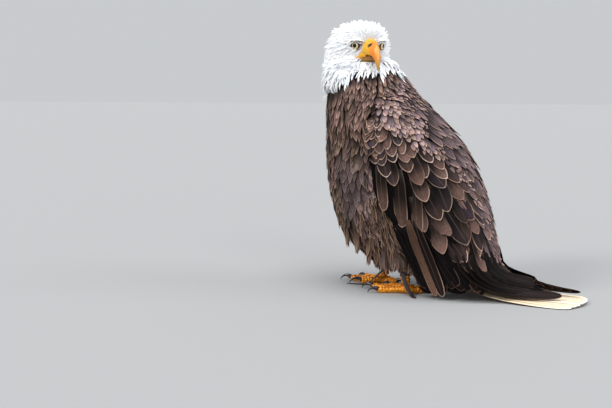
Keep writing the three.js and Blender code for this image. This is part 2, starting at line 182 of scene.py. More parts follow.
def addNode(material, kind, settings=None, inputs=None):
    node = material.node_tree.nodes.new("ShaderNode" + kind)
    for name, value in (settings or {}).items():
        setattr(node, name, value)
    for name, value in (inputs or {}).items():
        if isinstance(value, bpy.types.NodeSocket):
            material.node_tree.links.new(value, node.inputs[name])
        else:
            node.inputs[name].default_value = value
    return node


def newMaterial(name, settings):
    material = bpy.data.materials.new(name)
    material.use_nodes = True
    shader = material.node_tree.nodes["Principled BSDF"]
    for socket, value in settings.items():
        shader.inputs[socket].default_value = value
    return material, shader, partial(addNode, material)


def join(material, shader, colour, bump):
    material.node_tree.links.new(colour, shader.inputs["Base Color"])
    material.node_tree.links.new(bump, shader.inputs["Normal"])
    return material


# A feather's vane: keratin barbs that run out from the shaft and forward. They give a soft satin
# face with fine lines, a root darkened as painted shade where the feathers over it overlap, and a pale
# worn fringe where the feather has one.
# vane holds share along, share across and a random number; span holds the length in mm, the
# distance to the rim in mm and how strong the fringe is.
barbs = {"slant": 0.9, "lanes": 0.12, "seed": 61.0, "wear": 1.6, "rim": 0.8, "rimFrom": 0.45, "rimTo": 1.1,
         "fringeFrom": 0.55, "fringeTo": 0.93, "fringeLeast": 0.12, "bump": 0.5, "deep": 0.0004,
         "shaftFrom": 0.03, "shaftTo": 0.11}


def plumage(name, barb=1.5, fringe=2.0, rootPaintedShade=0.45, rootFrom=0.45, rootTo=0.9, contrast=0.3, shaft=0.0,
            shader=None):
    material, bsdf, node = newMaterial(name, {"Roughness": 0.6, "Specular IOR Level": 0.1,
                                              "Sheen Roughness": 0.4, **(shader or {})})
    vane, span, tint, edge = (node("Attribute", {"attribute_name": kind})
                              for kind in ("vane", "span", "tint", "edgeTint"))
    vane = node("SeparateXYZ", inputs={0: vane.outputs["Vector"]}).outputs
    span = node("SeparateXYZ", inputs={0: span.outputs["Vector"]}).outputs
    times, timesPlus = {"operation": "MULTIPLY"}, {"operation": "MULTIPLY_ADD"}
    along = node("Math", times, {0: vane["X"], 1: span["X"]})
    slant = node("Math", timesPlus, {0: span["Y"], 1: barbs["slant"], 2: along.outputs[0]})
    lines = node("Math", {"operation": "DIVIDE"}, {0: slant.outputs[0], 1: barb})
    seed = node("Math", times, {0: vane["Z"], 1: barbs["seed"]})
    lane = node("Math", timesPlus, {0: span["Y"], 1: barbs["lanes"], 2: seed.outputs[0]})
    where = node("CombineXYZ", inputs={0: lines.outputs[0], 1: lane.outputs[0], 2: seed.outputs[0]})
    streaks = node("TexNoise", inputs={"Vector": where.outputs[0], "Scale": 1.0, "Detail": 2.0,
                                       "Roughness": 0.6}).outputs["Fac"]
    lighten = node("MapRange", inputs={"Value": streaks, "From Min": 0.25, "From Max": 0.75,
                                       "To Min": 1 - contrast, "To Max": 1 + contrast})
    soft = {"interpolation_type": "SMOOTHSTEP"}
    # the root end is darkened: painted shade, where the feathers over it overlap
    root = node("MapRange", soft, {"Value": vane["X"], "From Min": rootFrom, "From Max": rootTo,
                                   "To Min": rootPaintedShade, "To Max": 1.0})
    shade = node("Math", times, {0: lighten.outputs[0], 1: root.outputs[0]})
    dark = node("VectorMath", {"operation": "SCALE"}, {0: tint.outputs["Color"], "Scale": shade.outputs[0]})
    wear = node("Math", timesPlus, {0: streaks, 1: barbs["wear"], 2: span["Y"]})
    rim = node("MapRange", soft, {"Value": wear.outputs[0], "To Min": 1.0, "To Max": 0.0,
                                  "From Min": barbs["rim"] + fringe * barbs["rimFrom"],
                                  "From Max": barbs["rim"] + fringe * barbs["rimTo"]})
    tipward = node("MapRange", soft, {"Value": vane["X"], "To Min": barbs["fringeLeast"], "To Max": 1.0,
                                      "From Min": barbs["fringeFrom"], "From Max": barbs["fringeTo"]})
    mask = node("Math", times, {0: rim.outputs[0], 1: tipward.outputs[0]})
    share = node("Math", {**times, "use_clamp": True}, {0: mask.outputs[0], 1: span["Z"]})
    mix = {"data_type": "RGBA"}
    colour = node("Mix", mix, {"Factor": share.outputs[0], 6: dark.outputs[0], 7: edge.outputs["Color"]})
    if shaft:
        middle = node("Math", {"operation": "ABSOLUTE"}, {0: vane["Y"]})
        line = node("MapRange", soft, {"Value": middle.outputs[0], "From Min": barbs["shaftFrom"],
                                       "From Max": barbs["shaftTo"], "To Min": shaft, "To Max": 0.0})
        colour = node("Mix", mix, {"Factor": line.outputs[0], 6: colour.outputs[2], 7: edge.outputs["Color"]})
    bump = node("Bump", inputs={"Strength": barbs["bump"], "Distance": barbs["deep"], "Height": streaks})
    return join(material, bsdf, colour.outputs[2], bump.outputs[0])


# Living surfaces whose colour is laid out point by point, with a fine grain over it, in mm
def tintedSurface(name, grain, contrast, bumpDeep, settings, stretch=(1, 1, 1)):
    material, bsdf, node = newMaterial(name, settings)
    tint = node("Attribute", {"attribute_name": "tint"})
    where = node("TexCoord")
    mapped = node("Mapping", inputs={"Vector": where.outputs["Object"], "Scale": stretch})
    fine = node("TexNoise", inputs={"Vector": mapped.outputs[0], "Scale": 1000 / grain, "Detail": 4.0,
                                    "Roughness": 0.6}).outputs["Fac"]
    shade = node("MapRange", inputs={"Value": fine, "From Min": 0.3, "From Max": 0.7,
                                     "To Min": 1 - contrast, "To Max": 1 + contrast})
    colour = node("VectorMath", {"operation": "SCALE"}, {0: tint.outputs["Color"], "Scale": shade.outputs[0]})
    bump = node("Bump", inputs={"Strength": 0.6, "Distance": bumpDeep / 1000, "Height": fine})
    return join(material, bsdf, colour.outputs[0], bump.outputs[0])


def onlySelect(*objects):
    for other in bpy.data.objects:
        other.select_set(False)
    for thing in objects:
        thing.select_set(True)
    bpy.context.view_layer.objects.active = objects[0]


def applyModifier(thing, kind, **settings):
    modifier = thing.modifiers.new(kind, kind)
    for name, value in settings.items():
        setattr(modifier, name, value)
    onlySelect(thing)
    bpy.ops.object.modifier_apply(modifier=modifier.name)


def editWhole(thing, operator, **settings):
    onlySelect(thing)
    bpy.ops.object.mode_set(mode="EDIT")
    bpy.ops.mesh.select_all(action="SELECT")
    operator(**settings)
    bpy.ops.object.mode_set(mode="OBJECT")


# A merged copy of some of the model's solids, made smooth: rounded, joined by a fine remesh,
# relaxed, and drawn in or out by depth, all mm
def refine(name, parts, voxel, rounds=0, relax=0, depth=0.0):
    copies = []
    for part in parts:
        copy = nodes[part].copy()
        copy.data = nodes[part].data.copy()
        copy.parent = None
        for key in list(copy.keys()):
            del copy[key]
        bpy.context.scene.collection.objects.link(copy)
        copies.append(copy)
    onlySelect(*copies)
    if len(copies) > 1:
        bpy.ops.object.join()
    thing = bpy.context.view_layer.objects.active
    thing.name = name
    thing.data.materials.clear()
    editWhole(thing, bpy.ops.mesh.remove_doubles, threshold=0.00001)
    if rounds:
        applyModifier(thing, "SUBSURF", levels=rounds, render_levels=rounds)
    applyModifier(thing, "REMESH", mode="VOXEL", voxel_size=voxel / 1000)
    if relax:
        applyModifier(thing, "SMOOTH", factor=0.5, iterations=relax)
    if depth:
        applyModifier(thing, "DISPLACE", strength=depth / 1000, mid_level=0)
    onlySelect(thing)
    bpy.ops.object.shade_smooth()
    return thing


def readPoints(thing, key):
    flat = np.empty(len(thing.data.vertices) * 3)
    thing.data.vertices.foreach_get(key, flat)
    return flat.reshape(-1, 3)


def points(thing):
    return readPoints(thing, "co")


def setPoints(thing, spots):
    thing.data.vertices.foreach_set("co", spots.ravel())
    thing.data.update()


def toBird(spots):
    return (spots - np.array(birdShift)) * 1000


def fromBird(spots):
    return spots / 1000 + np.array(birdShift)


def toHead(spots):
    turn = np.array(headBack)
    return (spots @ turn[:3, :3].T + turn[:3, 3]) * 1000


def fromHead(local):
    pose = np.array(headPose)
    return (local / 1000) @ pose[:3, :3].T + pose[:3, 3]


def setAttribute(mesh, name, kind, values):
    layer = mesh.attributes.new(name, kind, "POINT")
    key = "color" if kind == "FLOAT_COLOR" else "vector"
    if kind == "FLOAT_COLOR":
        values = np.hstack([values, np.ones((len(values), 1))])
    layer.data.foreach_set(key, np.asarray(values, dtype=np.float32).ravel())


def paint(thing, tint):
    # one colour for the whole piece, or one for each point
    setAttribute(thing.data, "tint", "FLOAT_COLOR", np.broadcast_to(tint, (len(thing.data.vertices), 3)))


def addObject(name, data):
    thing = bpy.data.objects.new(name, data)
    bpy.context.scene.collection.objects.link(thing)
    return thing


def tree(thing):
    mesh = thing.data
    return BVHTree.FromPolygons([v.co for v in mesh.vertices], [p.vertices[:] for p in mesh.polygons])


def nearestOn(surface, spots):
    # the nearest places on a surface, and its normals there
    found = [surface.find_nearest(Vector(s)) for s in spots]
    return np.array([f[0] for f in found]), np.array([f[1] for f in found])


def finishPiece(thing, material, replaced=()):
    thing.data.materials.clear()
    thing.data.materials.append(material)
    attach(thing, "root")
    if replaced:
        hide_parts(*replaced)


def outwards(thing):
    editWhole(thing, bpy.ops.mesh.normals_make_consistent, inside=False)
    bpy.ops.object.shade_smooth()


def tube(name, path, radii, closed=False, around=5):
    # a round bar along a path, as thick as radii say in mm
    line = bpy.data.curves.new(name, "CURVE")
    line.dimensions = "3D"
    line.bevel_depth = 0.001
    line.bevel_resolution = around
    line.use_fill_caps = not closed
    spline = line.splines.new("POLY")
    spline.points.add(len(path) - 1)
    spline.use_cyclic_u = closed
    for point, spot, radius in zip(spline.points, path, radii):
        point.co = (*spot, 1)
        point.radius = radius
    onlySelect(addObject(name, line))
    bpy.ops.object.convert(target="MESH")
    bpy.ops.object.shade_smooth()
    return bpy.context.view_layer.objects.active


# The form that body feathers are laid on, and a finer one for the head's
fleshNodes = ["head", "neck", "trunk", "thigh_left", "thigh_right"]
form = refine("form", fleshNodes + ["wing_left", "wing_right"], voxel=4, relax=4)
formTree = tree(form)
headForm = refine("headForm", ["head", "neck", "trunk"], voxel=3, rounds=1, relax=9, depth=1.5)
headTree = tree(headForm)
print("form laid out", len(form.data.polygons), len(headForm.data.polygons))


def nodeTree(names):
    # some of the model's solids in one tree, and the name of the solid that each face is of
    corners, faces, owners = [], [], []
    for name in names:
        mesh = nodes[name].data
        start = len(corners)
        corners += [v.co.copy() for v in mesh.vertices]
        faces += [[start + i for i in p.vertices] for p in mesh.polygons]
        owners += [name] * len(mesh.polygons)
    return BVHTree.FromPolygons(corners, faces), owners


zoneTree, zoneOwners = nodeTree(fleshNodes + ["wing_left", "wing_right", "tail"])
hardTree, _ = nodeTree(["bill_upper", "bill_lower"])

# The white hood's lowest tips all round the neck: degrees from the breast, and height in mm.
# Its lowest roots stand a little less than a feather's length higher.
hood = {"middle": (9, -70), "around": [0, 27, 47, 62, 80, 100, 120, 138, 149, 156, 167, 180],
        "tips": [404, 398, 404, 416, 426, 431, 432, 435, 445, 442, 437, 430], "rootsAbove": 24}


def aroundNeck(bird):
    return np.degrees(np.arctan2(np.abs(bird[:, 0] - hood["middle"][0]), -(bird[:, 1] - hood["middle"][1])))


def aboveHoodEdge(bird):
    return bird[:, 2] - np.interp(aroundNeck(bird), hood["around"], hood["tips"]) - hood["rootsAbove"]


# One vane modelled flat, a grid whose rows are drawn in to the feather's outline.
# Its points are kept as shares along and across, and each feather is a copy bent over the form.
def modelVane(stations, widths, across):
    rows = len(stations) - 1
    bpy.ops.mesh.primitive_grid_add(x_subdivisions=across - 1, y_subdivisions=rows, size=2)
    vane = bpy.context.object
    flat = points(vane)
    row = np.rint((flat[:, 1] + 1) / 2 * rows).astype(int)
    faces = np.array([list(p.vertices) for p in vane.data.polygons])
    bpy.data.objects.remove(vane)
    return {"across": flat[:, 0], "row": row, "faces": faces, "stations": np.array(stations),
            "widths": np.array(widths)}


vanes = {
    "hackle": modelVane([0, 0.3, 0.6, 0.83, 1], [0.5, 0.95, 1, 0.55, 0.03], 3),
    "body": modelVane([0, 0.3, 0.55, 0.74, 0.88, 1], [0.45, 0.9, 1, 0.86, 0.54, 0.04], 3),
    "covert": modelVane([0, 0.25, 0.45, 0.62, 0.75, 0.85, 0.92, 0.97, 1],
                        [0.5, 0.88, 0.98, 1, 0.92, 0.72, 0.49, 0.26, 0.04], 5),
    "strap": modelVane([0, 0.25, 0.5, 0.7, 0.84, 0.92, 0.97, 1], [0.6, 0.95, 1, 1, 0.93, 0.76, 0.5, 0.12], 5),
    "flight": modelVane([0, 0.12, 0.25, 0.38, 0.5, 0.62, 0.73, 0.82, 0.9, 0.955, 0.985, 1],
                        [0.5, 0.8, 0.95, 1, 1, 1, 0.99, 0.95, 0.84, 0.64, 0.42, 0.16], 5),
}

whiteFace = {"barb": 1.2, "rootFrom": 0.25, "shader": {"Roughness": 0.7, "Sheen Weight": 0.1}}
plumageWhite = plumage("contour feather, white", contrast=0.08, rootPaintedShade=0.72, **whiteFace)
plumageFace = plumage("short contour feather, white", contrast=0.05, rootPaintedShade=0.9, **whiteFace)
plumageBrown = plumage("contour feather, brown", contrast=0.5, rootPaintedShade=0.3, rootFrom=0.3, rootTo=0.82)
plumageMantle = plumage("small mantle feather, brown with a pale edge", barb=1.3, contrast=0.45,
                        rootPaintedShade=0.35, rootFrom=0.35, rootTo=0.8)
plumageCovert = plumage("wing covert, brown with a worn pale fringe", barb=1.8, fringe=2.4, contrast=0.4,
                        rootPaintedShade=0.08, rootFrom=0.42, rootTo=0.98, shaft=0.04, shader={"Roughness": 0.5})
plumageFlight = plumage("flight feather, blackish brown", barb=2.0, fringe=1.8, rootPaintedShade=0.4, rootFrom=0.2,
                        shaft=0.05, shader={"Roughness": 0.5, "Specular IOR Level": 0.05})
plumageTail = plumage("tail feather, white and tan", barb=2.0, fringe=3.0, contrast=0.1, rootPaintedShade=0.85,
                      shaft=0.4, shader={"Roughness": 0.5})
skinFinish = tintedSurface("down over skin", grain=2.5, contrast=0.25, bumpDeep=0.8,
                           settings={"Roughness": 0.9, "Specular IOR Level": 0.06})

# How each kind of feather is made and kept: vane, unwrapping, slot and material; a wing's and the
# tail's have a patch of their own size on the map, and a thickness in mm
kinds = {
    "face": ("hackle", "head", "plumage_white", plumageFace, 0.003, 0),
    "hackle": ("hackle", "head", "plumage_white", plumageWhite, 0.003, 0),
    "body": ("body", "body", "plumage_brown", plumageBrown, 0.003, 0),
    "mantle": ("body", "body", "plumage_brown", plumageMantle, 0.003, 0),
    "strand": ("hackle", "body", "plumage_brown", plumageBrown, 0.003, 0),
    "covert": ("covert", "", "wing_feathers", plumageCovert, 0.03, 0.5),
    "looseCovert": ("strap", "", "wing_feathers", plumageCovert, 0.03, 0.5),
    "secondary": ("flight", "", "wing_feathers", plumageFlight, 0.03, 0.5),
    "primary": ("flight", "", "wing_feathers", plumageFlight, 0.12, 0.5),
    "backCovert": ("covert", "", "plumage_brown", plumageCovert, 0.03, 0.5),
    "tailCovert": ("covert", "", "tail_feathers", plumageTail, 0.03, 0.5),
    "rectrix": ("flight", "", "tail_feathers", plumageTail, 0.06, 0.5),
}
# the skin unrolled about an upright line, and the heights in m that the map holds
unwraps = {"head": (headPose.translation, 0.39, 0.55), "body": (place(0, 0, 0), 0.03, 0.45)}


def walk(surface, roots, lies, lengths, stations):
    # stations along each feather's middle, stepping over the form from root to tip
    spots, ups, lines = np.zeros((3, len(roots), len(stations), 3))
    for i, root in enumerate(roots):
        spot, up, _, _ = surface.find_nearest(Vector(root))
        lie = Vector(lies[i])
        before = 0.0
        for k, share in enumerate(stations):
            if share > before:
                spot, up, _, _ = surface.find_nearest(spot + lie * float((share - before) * lengths[i]))
            lie = (lie - up * lie.dot(up)).normalized()
            spots[i, k], ups[i, k], lines[i, k] = spot, up, lie
            before = share
    # steadier than the form's own faces
    ups[:, 1:-1] = unit(ups[:, 1:-1] * 0.5 + (ups[:, :-2] + ups[:, 2:]) * 0.25)
    return spots, ups, lines


def unwrapRound(roots, kind):
    centre, low, high = unwraps[kind]
    turn = np.arctan2(roots[:, 0] - centre[0], roots[:, 1] - centre[1]) / (2 * math.pi) + 0.5
    rise = (roots[:, 2] - low) / (high - low)
    return columns(0.01 + turn * 0.98, 0.01 + np.clip(rise, 0, 1) * 0.98)


def layFeathers(name, kind, surface, roots, lies, each, unwrap=None, paths=None, replaced=()):
    # each holds one value for each feather: length, half width, sunk and lift in m, camber,
    # tint, edge tint, fringe, twist, and how far it hangs loose instead of following the form
    shape, unroll, slot, material, patch, thick = kinds[kind]
    vane = vanes[shape]
    row, across, shares = vane["row"], vane["across"], vane["stations"]
    along = shares[row]
    count, size = len(roots), len(row)
    value = {key: item[:, None] for key, item in each.items()}
    spots, ups, lines = paths or walk(surface, roots, lies, each["length"], shares)
    if "loose" in each:
        reach = (value["length"] * shares)[..., None]
        straight = spots[:, :1] + ups[:, :1] * 0.002 + lies[:, None, :] * reach
        spots = spots + (straight - spots) * (value["loose"] * shares ** 0.7)[..., None]
    sides = np.cross(ups, lines)
    half = value["half"] * vane["widths"][row]
    rise = (value["lift"] * along ** 1.6 - value["sunk"] * (1 - along) ** 1.5
            - value["camber"] * half * across ** 2 + value["twist"] * half * across)
    corners = spots[:, row] + sides[:, row] * (half * across)[..., None] + ups[:, row] * rise[..., None]
    faces = (vane["faces"][None] + (np.arange(count) * size)[:, None, None]).reshape(-1, 4)
    mesh = bpy.data.meshes.new(name)
    mesh.vertices.add(count * size)
    mesh.vertices.foreach_set("co", corners.ravel())
    mesh.loops.add(len(faces) * 4)
    mesh.loops.foreach_set("vertex_index", faces.ravel())
    mesh.polygons.add(len(faces))
    mesh.polygons.foreach_set("loop_start", np.arange(len(faces)) * 4)
    mesh.polygons.foreach_set("use_smooth", np.ones(len(faces), bool))
    mesh.update(calc_edges=True)
    chance = rng.random(count)[:, None]
    rim = np.minimum(half * (1 - np.abs(across)), (1 - along) * value["length"] * 0.8)
    for layer, parts in (("vane", (along, across, chance)),
                         ("span", (value["length"] * 1000, rim * 1000, value["fringe"]))):
        full = [np.broadcast_to(part, (count, size)).ravel() for part in parts]
        setAttribute(mesh, layer, "FLOAT_VECTOR", columns(*full))
    setAttribute(mesh, "tint", "FLOAT_COLOR", np.repeat(each["tint"], size, 0))
    setAttribute(mesh, "edgeTint", "FLOAT_COLOR", np.repeat(each["edge"], size, 0))
    start = unwrapRound(roots, unroll) if unroll else unwrap
    corner = start[:, None, :] + columns(across * patch / 2, along * patch)[None]
    mesh.uv_layers.new(name="OFBake").data.foreach_set("uv", corner.reshape(-1, 2)[faces.ravel()].ravel())
    thing = addObject(name, mesh)
    finishPiece(thing, material, replaced)
    if thick:
        applyModifier(thing, "SOLIDIFY", thickness=thick / 1000, offset=-1)
    print(name, count)


def scatter(thing, spacing, keep, tries=9, upright=1.0):
    # roots over a surface, no two closer than spacing(spot), where keep(spot) allows;
    # upright below 1 spaces them further up and down than across
    mesh = thing.data
    mesh.calc_loop_triangles()
    corners = points(thing)
    tris = np.array([t.vertices[:] for t in mesh.loop_triangles])
    a, b, c = corners[tris[:, 0]], corners[tris[:, 1]], corners[tris[:, 2]]
    normal = np.cross(b - a, c - a)
    area = np.linalg.norm(normal, axis=1) / 2
    normal /= (2 * area)[:, None] + 1e-12
    middles = (a + b + c) / 3
    wide = spacing(middles)
    share = keep(middles) * area * upright / wide ** 2
    count = int(share.sum() * tries)
    chosen = rng.choice(len(tris), count, p=share / share.sum())
    u, v = rng.random(count), rng.random(count)
    flip = u + v > 1
    u[flip], v[flip] = 1 - u[flip], 1 - v[flip]
    spots = a[chosen] + (b - a)[chosen] * u[:, None] + (c - a)[chosen] * v[:, None]
    gaps = wide[chosen]
    squeezed = spots * [1, 1, upright]
    keys = np.floor(squeezed / gaps.max()).astype(int).tolist()
    steps = [(i, j, k) for i in (-1, 0, 1) for j in (-1, 0, 1) for k in (-1, 0, 1)]
    grid, taken = {}, []
    for n, (x, y, z) in enumerate(squeezed.tolist()):
        gap = gaps[n] ** 2
        i, j, k = keys[n]
        near = (other for di, dj, dk in steps for other in grid.get((i + di, j + dj, k + dk), ()))
        if all((px - x) ** 2 + (py - y) ** 2 + (pz - z) ** 2 >= gap for px, py, pz in near):
            grid.setdefault((i, j, k), []).append((x, y, z))
            taken.append(n)
    return spots[taken], normal[chosen][taken]


def onSurface(directions, normals):
    return unit(directions - normals * (directions * normals).sum(1, keepdims=True))


def turned(directions, normals, angles):
    side = np.cross(normals, directions)
    return directions * np.cos(angles)[:, None] + side * np.sin(angles)[:, None]


def look(count, length, half, sunk=3.0, lift=1.0, camber=0.12, fringe=0.0, **more):
    # one row of settings for each feather, from mm
    sizes = {"length": length, "half": half, "sunk": sunk, "lift": lift}
    made = {key: (np.zeros(count) + value) / 1000 for key, value in sizes.items()}
    return {**made, "camber": np.zeros(count) + camber, "fringe": np.zeros(count) + fringe,
            "twist": rng.normal(0, 0.05, count), **more}


whiteTones = ["f8f8f6", "fdfdfb", "eef1f5", "e2e7ee"]
breastTones = ["57443a", "6e5747", "3f3029", "7d6553", "665055", "4b4038", "5d5040"]
mantleTones = ["6c5859", "80696a", "594b53", "8b756f", "655862"]
fringeTones = ["c09a86", "d0ac98", "ad8673", "dcbfae"]


# The skin under the feathers, and where it is bare
skinSettings = {"voxel": 3, "relax": 5, "depth": -4.0}
faceForward = 2.6  # mm less deep on the face, where feathers are short
eyeSurround = {"spot": (27, -26, 2.5), "squash": [1, 0.8, 1.25], "edge": (10.8, 9.2)}


def bareSkin(local):
    # pinkish bare skin, streaked with fine bristles
    streak = noiseAt(local * [0.35, 0.2, 1.3])[:, None]
    return tone("d8b4a4") * (1 - np.clip(streak * 1.2, 0, 0.6)) + 0.1 * np.clip(-streak, 0, 1)


def headTint(spots):
    # body skin near black, a painted shade in the gaps between feathers; white hood; bare lores by the bill
    local = toHead(spots)
    x, y, z = eyeSurround["spot"]
    lores = smoothstep(-26, -18, local[:, 2]) * smoothstep(12, 6, local[:, 2])
    lores = lores * smoothstep(-16, -26, local[:, 1])
    coats = [("e2e5ea", smoothstep(-5, 5, aboveHoodEdge(toBird(spots)))), (bareSkin(local), lores)]
    for side in (1, -1):
        gap = np.linalg.norm((local - [side * x, y, z]) * eyeSurround["squash"], axis=1)
        coats.append(("2b2622", smoothstep(*eyeSurround["edge"], gap)))
    return coloured("1d1613", *coats)


skin = refine("skin", fleshNodes, **skinSettings)
bare = points(skin)
local = toHead(bare)
face = smoothstep(-6, -22, local[:, 1]) * smoothstep(-44, -30, local[:, 2])
setPoints(skin, bare + readPoints(skin, "normal") * (face * faceForward / 1000)[:, None])
paint(skin, headTint(points(skin)))
skinTree = tree(skin)
finishPiece(skin, skinFinish, fleshNodes)
print("skin made", len(skin.data.polygons))


def headLies(spots, normals):
    local = toHead(spots)
    fall = 0.2 + 1.5 * smoothstep(15, -55, local[:, 2])
    flow = unit(local - [0, -52, 4]) + columns(0, 0.3, -fall)
    return onSurface(flow @ np.array(headPose.to_3x3()).T, normals)


def clearOfFace(spots, room):
    # not on the eyes, the lores, the gape or the bill
    local = toHead(spots)
    x, y, z = np.abs(local[:, 0]), local[:, 1], local[:, 2]
    eyes = np.linalg.norm((columns(x, y, z) - [27, -27, 2.5]) * [1, 0.9, 1.1], axis=1) <= 9.8
    lores = (y < -25) & (z < 7) & (z > -17) & (x > 8) & (x < 27)
    gape = (y < -12) & (np.abs(z + 20 - 0.28 * (y + 24)) < 4.5) & (x < 31)
    bill = np.array([hardTree.find_nearest(Vector(s))[3] for s in spots]) <= room / 1000
    return ~(eyes | lores | gape | bill)


headCoat = {"spacing": (1.8, 3.0), "long": (6.5, 26), "half": (0.8, 1.1), "wander": 0.3, "tuft": 9}
ruffled = {"spacing": (5.0, 7.2), "long": (11, 20), "half": (1.2, 0.9), "lift": 8.0}


def headGrowth(spots):
    # 0 at the bill, 1 far back and down: feathers grow longer and further apart
    local = toHead(spots)
    return np.clip(smoothstep(-38, 60, local[:, 1]) * 0.8 + smoothstep(5, -60, local[:, 2]) * 0.55, 0, 1)


def keepHead(spots):
    return (aboveHoodEdge(toBird(spots)) > 2).astype(float)


def whiteCoat(name, spacing, keep, clearance, shape):
    roots, normals = scatter(headForm, lambda s: fade(*spacing, headGrowth(s)) / 1000, keep)
    clear = clearOfFace(roots, clearance)
    roots, normals = roots[clear], normals[clear]
    growth = headGrowth(roots)
    count = len(roots)
    wander = rng.normal(0, 0.17, count) + headCoat["wander"] * ripple(roots, 18, 3.1)
    lies = turned(headLies(roots, normals), normals, wander)
    tuft = ripple(roots, headCoat["tuft"], 7.7)
    length, half, lift = shape(growth, count, toBird(roots), tuft)
    # the feathers between the raised tufts are tinted blue-grey: a painted shade in the hollows between them
    tint = coloured(mixTones(whiteTones, count), ("b4bfce", np.clip(-tuft - 0.1, 0, 0.6) * growth))
    layFeathers(name, "face", headTree, roots, lies,
                look(count, length, half, sunk=2.2, camber=0.25, lift=lift, tint=tint,
                     edge=mixTones(["fbfbfa"], count)))


def closeShape(growth, count, bird, tuft):
    length = fade(*headCoat["long"], growth) * between(0.8, 1.2, count)
    half = (headCoat["half"][0] + headCoat["half"][1] * growth) * between(0.85, 1.2, count)
    lift = 0.5 + growth * (1.2 + 1.6 * np.clip(tuft, -0.3, 1)) + growth * rng.random(count) ** 3 * 3
    snug = smoothstep(100, 135, aroundNeck(bird)) * smoothstep(506, 490, bird[:, 2])
    return length, half, lift * (1 - 0.75 * snug)


def ruffledShape(growth, count, bird, _):
    length = (ruffled["long"][0] + ruffled["long"][1] * growth) * between(0.85, 1.25, count)
    half = (ruffled["half"][0] + ruffled["half"][1] * growth) * between(0.85, 1.2, count)
    nape = smoothstep(484, 506, bird[:, 2])
    lift = ruffled["lift"] * (0.3 + 0.7 * rng.random(count)) * (0.18 + 0.82 * nape + 0.4 * growth * nape)
    return length, half, lift


whiteCoat("head_feathers", headCoat["spacing"], keepHead, 1.2, closeShape)
whiteCoat("head_ruffled_feathers", ruffled["spacing"],
          lambda s: keepHead(s) * (toHead(s)[:, 1] > -34), 8.0, ruffledShape)

# the long hackles at the foot of the hood hang in pointed locks
hackle = {"spacing": 3.2, "long": 36, "half": 2.4, "band": (-3, 46), "locks": 30, "lockHigh": 13}


def keepHackle(spots):
    above = aboveHoodEdge(toBird(spots))
    return ((above > hackle["band"][0]) & (above < hackle["band"][1])).astype(float)


roots, normals = scatter(headForm, lambda s: np.full(len(s), hackle["spacing"] / 1000), keepHackle)
count = len(roots)
bird = toBird(roots)
turn = np.arctan2(bird[:, 0] - hood["middle"][0], bird[:, 1] - hood["middle"][1])
above = aboveHoodEdge(bird)
lock = (turn / (2 * math.pi) * hackle["locks"] + 0.35 * np.sin(turn * 3)
        + 0.37 * np.floor(above / hackle["lockHigh"]))
aside = lock - np.floor(lock) - 0.5
offMiddle = np.abs(aside)
down = onSurface(np.tile([0.0, 0.0, -1.0], (count, 1)), normals)
across = np.cross(normals, down)
sideways = np.sign((across * columns(np.cos(turn), -np.sin(turn), 0)).sum(1))
share = smoothstep(46, 14, above)[:, None]
flow = unit(fade(headLies(roots, normals), down, share))
lies = unit(flow - across * (sideways * aside)[:, None])
lockLong = 0.5 + 0.5 * np.sin(np.floor(lock) * 2.4 + 1)
front = smoothstep(75, 35, aroundNeck(bird))
length = (hackle["long"] * (0.66 + 0.42 * lockLong + 0.06 * front * lockLong) * (1 - 0.75 * offMiddle)
          * between(0.85, 1.1, count) * (1 - 0.4 * smoothstep(14, 4, aroundNeck(bird))))
shade = np.clip(0.5 * offMiddle + 0.3 * ripple(roots, 12, 1.3), 0, 0.45)
tint = coloured(mixTones(whiteTones, count), ("a9b4c4", shade))
snug = 1 - 0.75 * smoothstep(105, 140, aroundNeck(bird))
half = hackle["half"] * between(0.75, 1.2, count)
lift = ((2.6 + 2.6 * lockLong - 3.0 * offMiddle) * snug + 3.0 * front
        + rng.random(count) ** 3 * 3 * front)
layFeathers("neck_hackles", "hackle", headTree, roots, lies,
            look(count, length, half, sunk=2.5, camber=0.35, lift=lift, tint=tint,
                 edge=mixTones(["fbfbfa"], count)))


def zones(spots):
    return np.array([zoneOwners[zoneTree.find_nearest(Vector(s))[2]] for s in spots])


thighZone = ["thigh_left", "thigh_right"]
wingZone = ["wing_left", "wing_right"]


def mantleShare(bird):
    # 0 on the breast and flanks, 1 on the shoulders and back
    return smoothstep(-38, 5, bird[:, 1] + 0.25 * (400 - bird[:, 2]))


def mantleFoot(bird):
    # how low the mantle's small feathers spring on the wing
    low = np.interp(np.abs(bird[:, 0]), [0, 20, 45, 80, 110], [60, 110, 222, 298, 316])
    return low + 40 * smoothstep(90, -10, bird[:, 1])


def keepBody(spots):
    bird = toBird(spots)
    found = zones(spots)
    below = aboveHoodEdge(bird) < -14 - 5 * smoothstep(85, 60, aroundNeck(bird))
    wing = np.isin(found, wingZone) & (bird[:, 2] > mantleFoot(bird))
    return (below & (np.isin(found, ["head", "neck", "trunk"] + thighZone) | wing)).astype(float)


# Two layers of body feathers, mm. Spacing, length and half width are each given for the breast
# and for the back.
coats = {
    "under": {"spacing": (7.6, 7.0), "long": (42, 30), "half": (5.2, 5.0), "upright": 0.62, "lift": 1.6,
              "bright": 1, "thinned": False},
    "over": {"spacing": (7.0, 6.8), "long": (34, 24), "half": (3.5, 4.0), "upright": 0.5, "lift": 2.4,
             "bright": 1.1, "thinned": True},
}


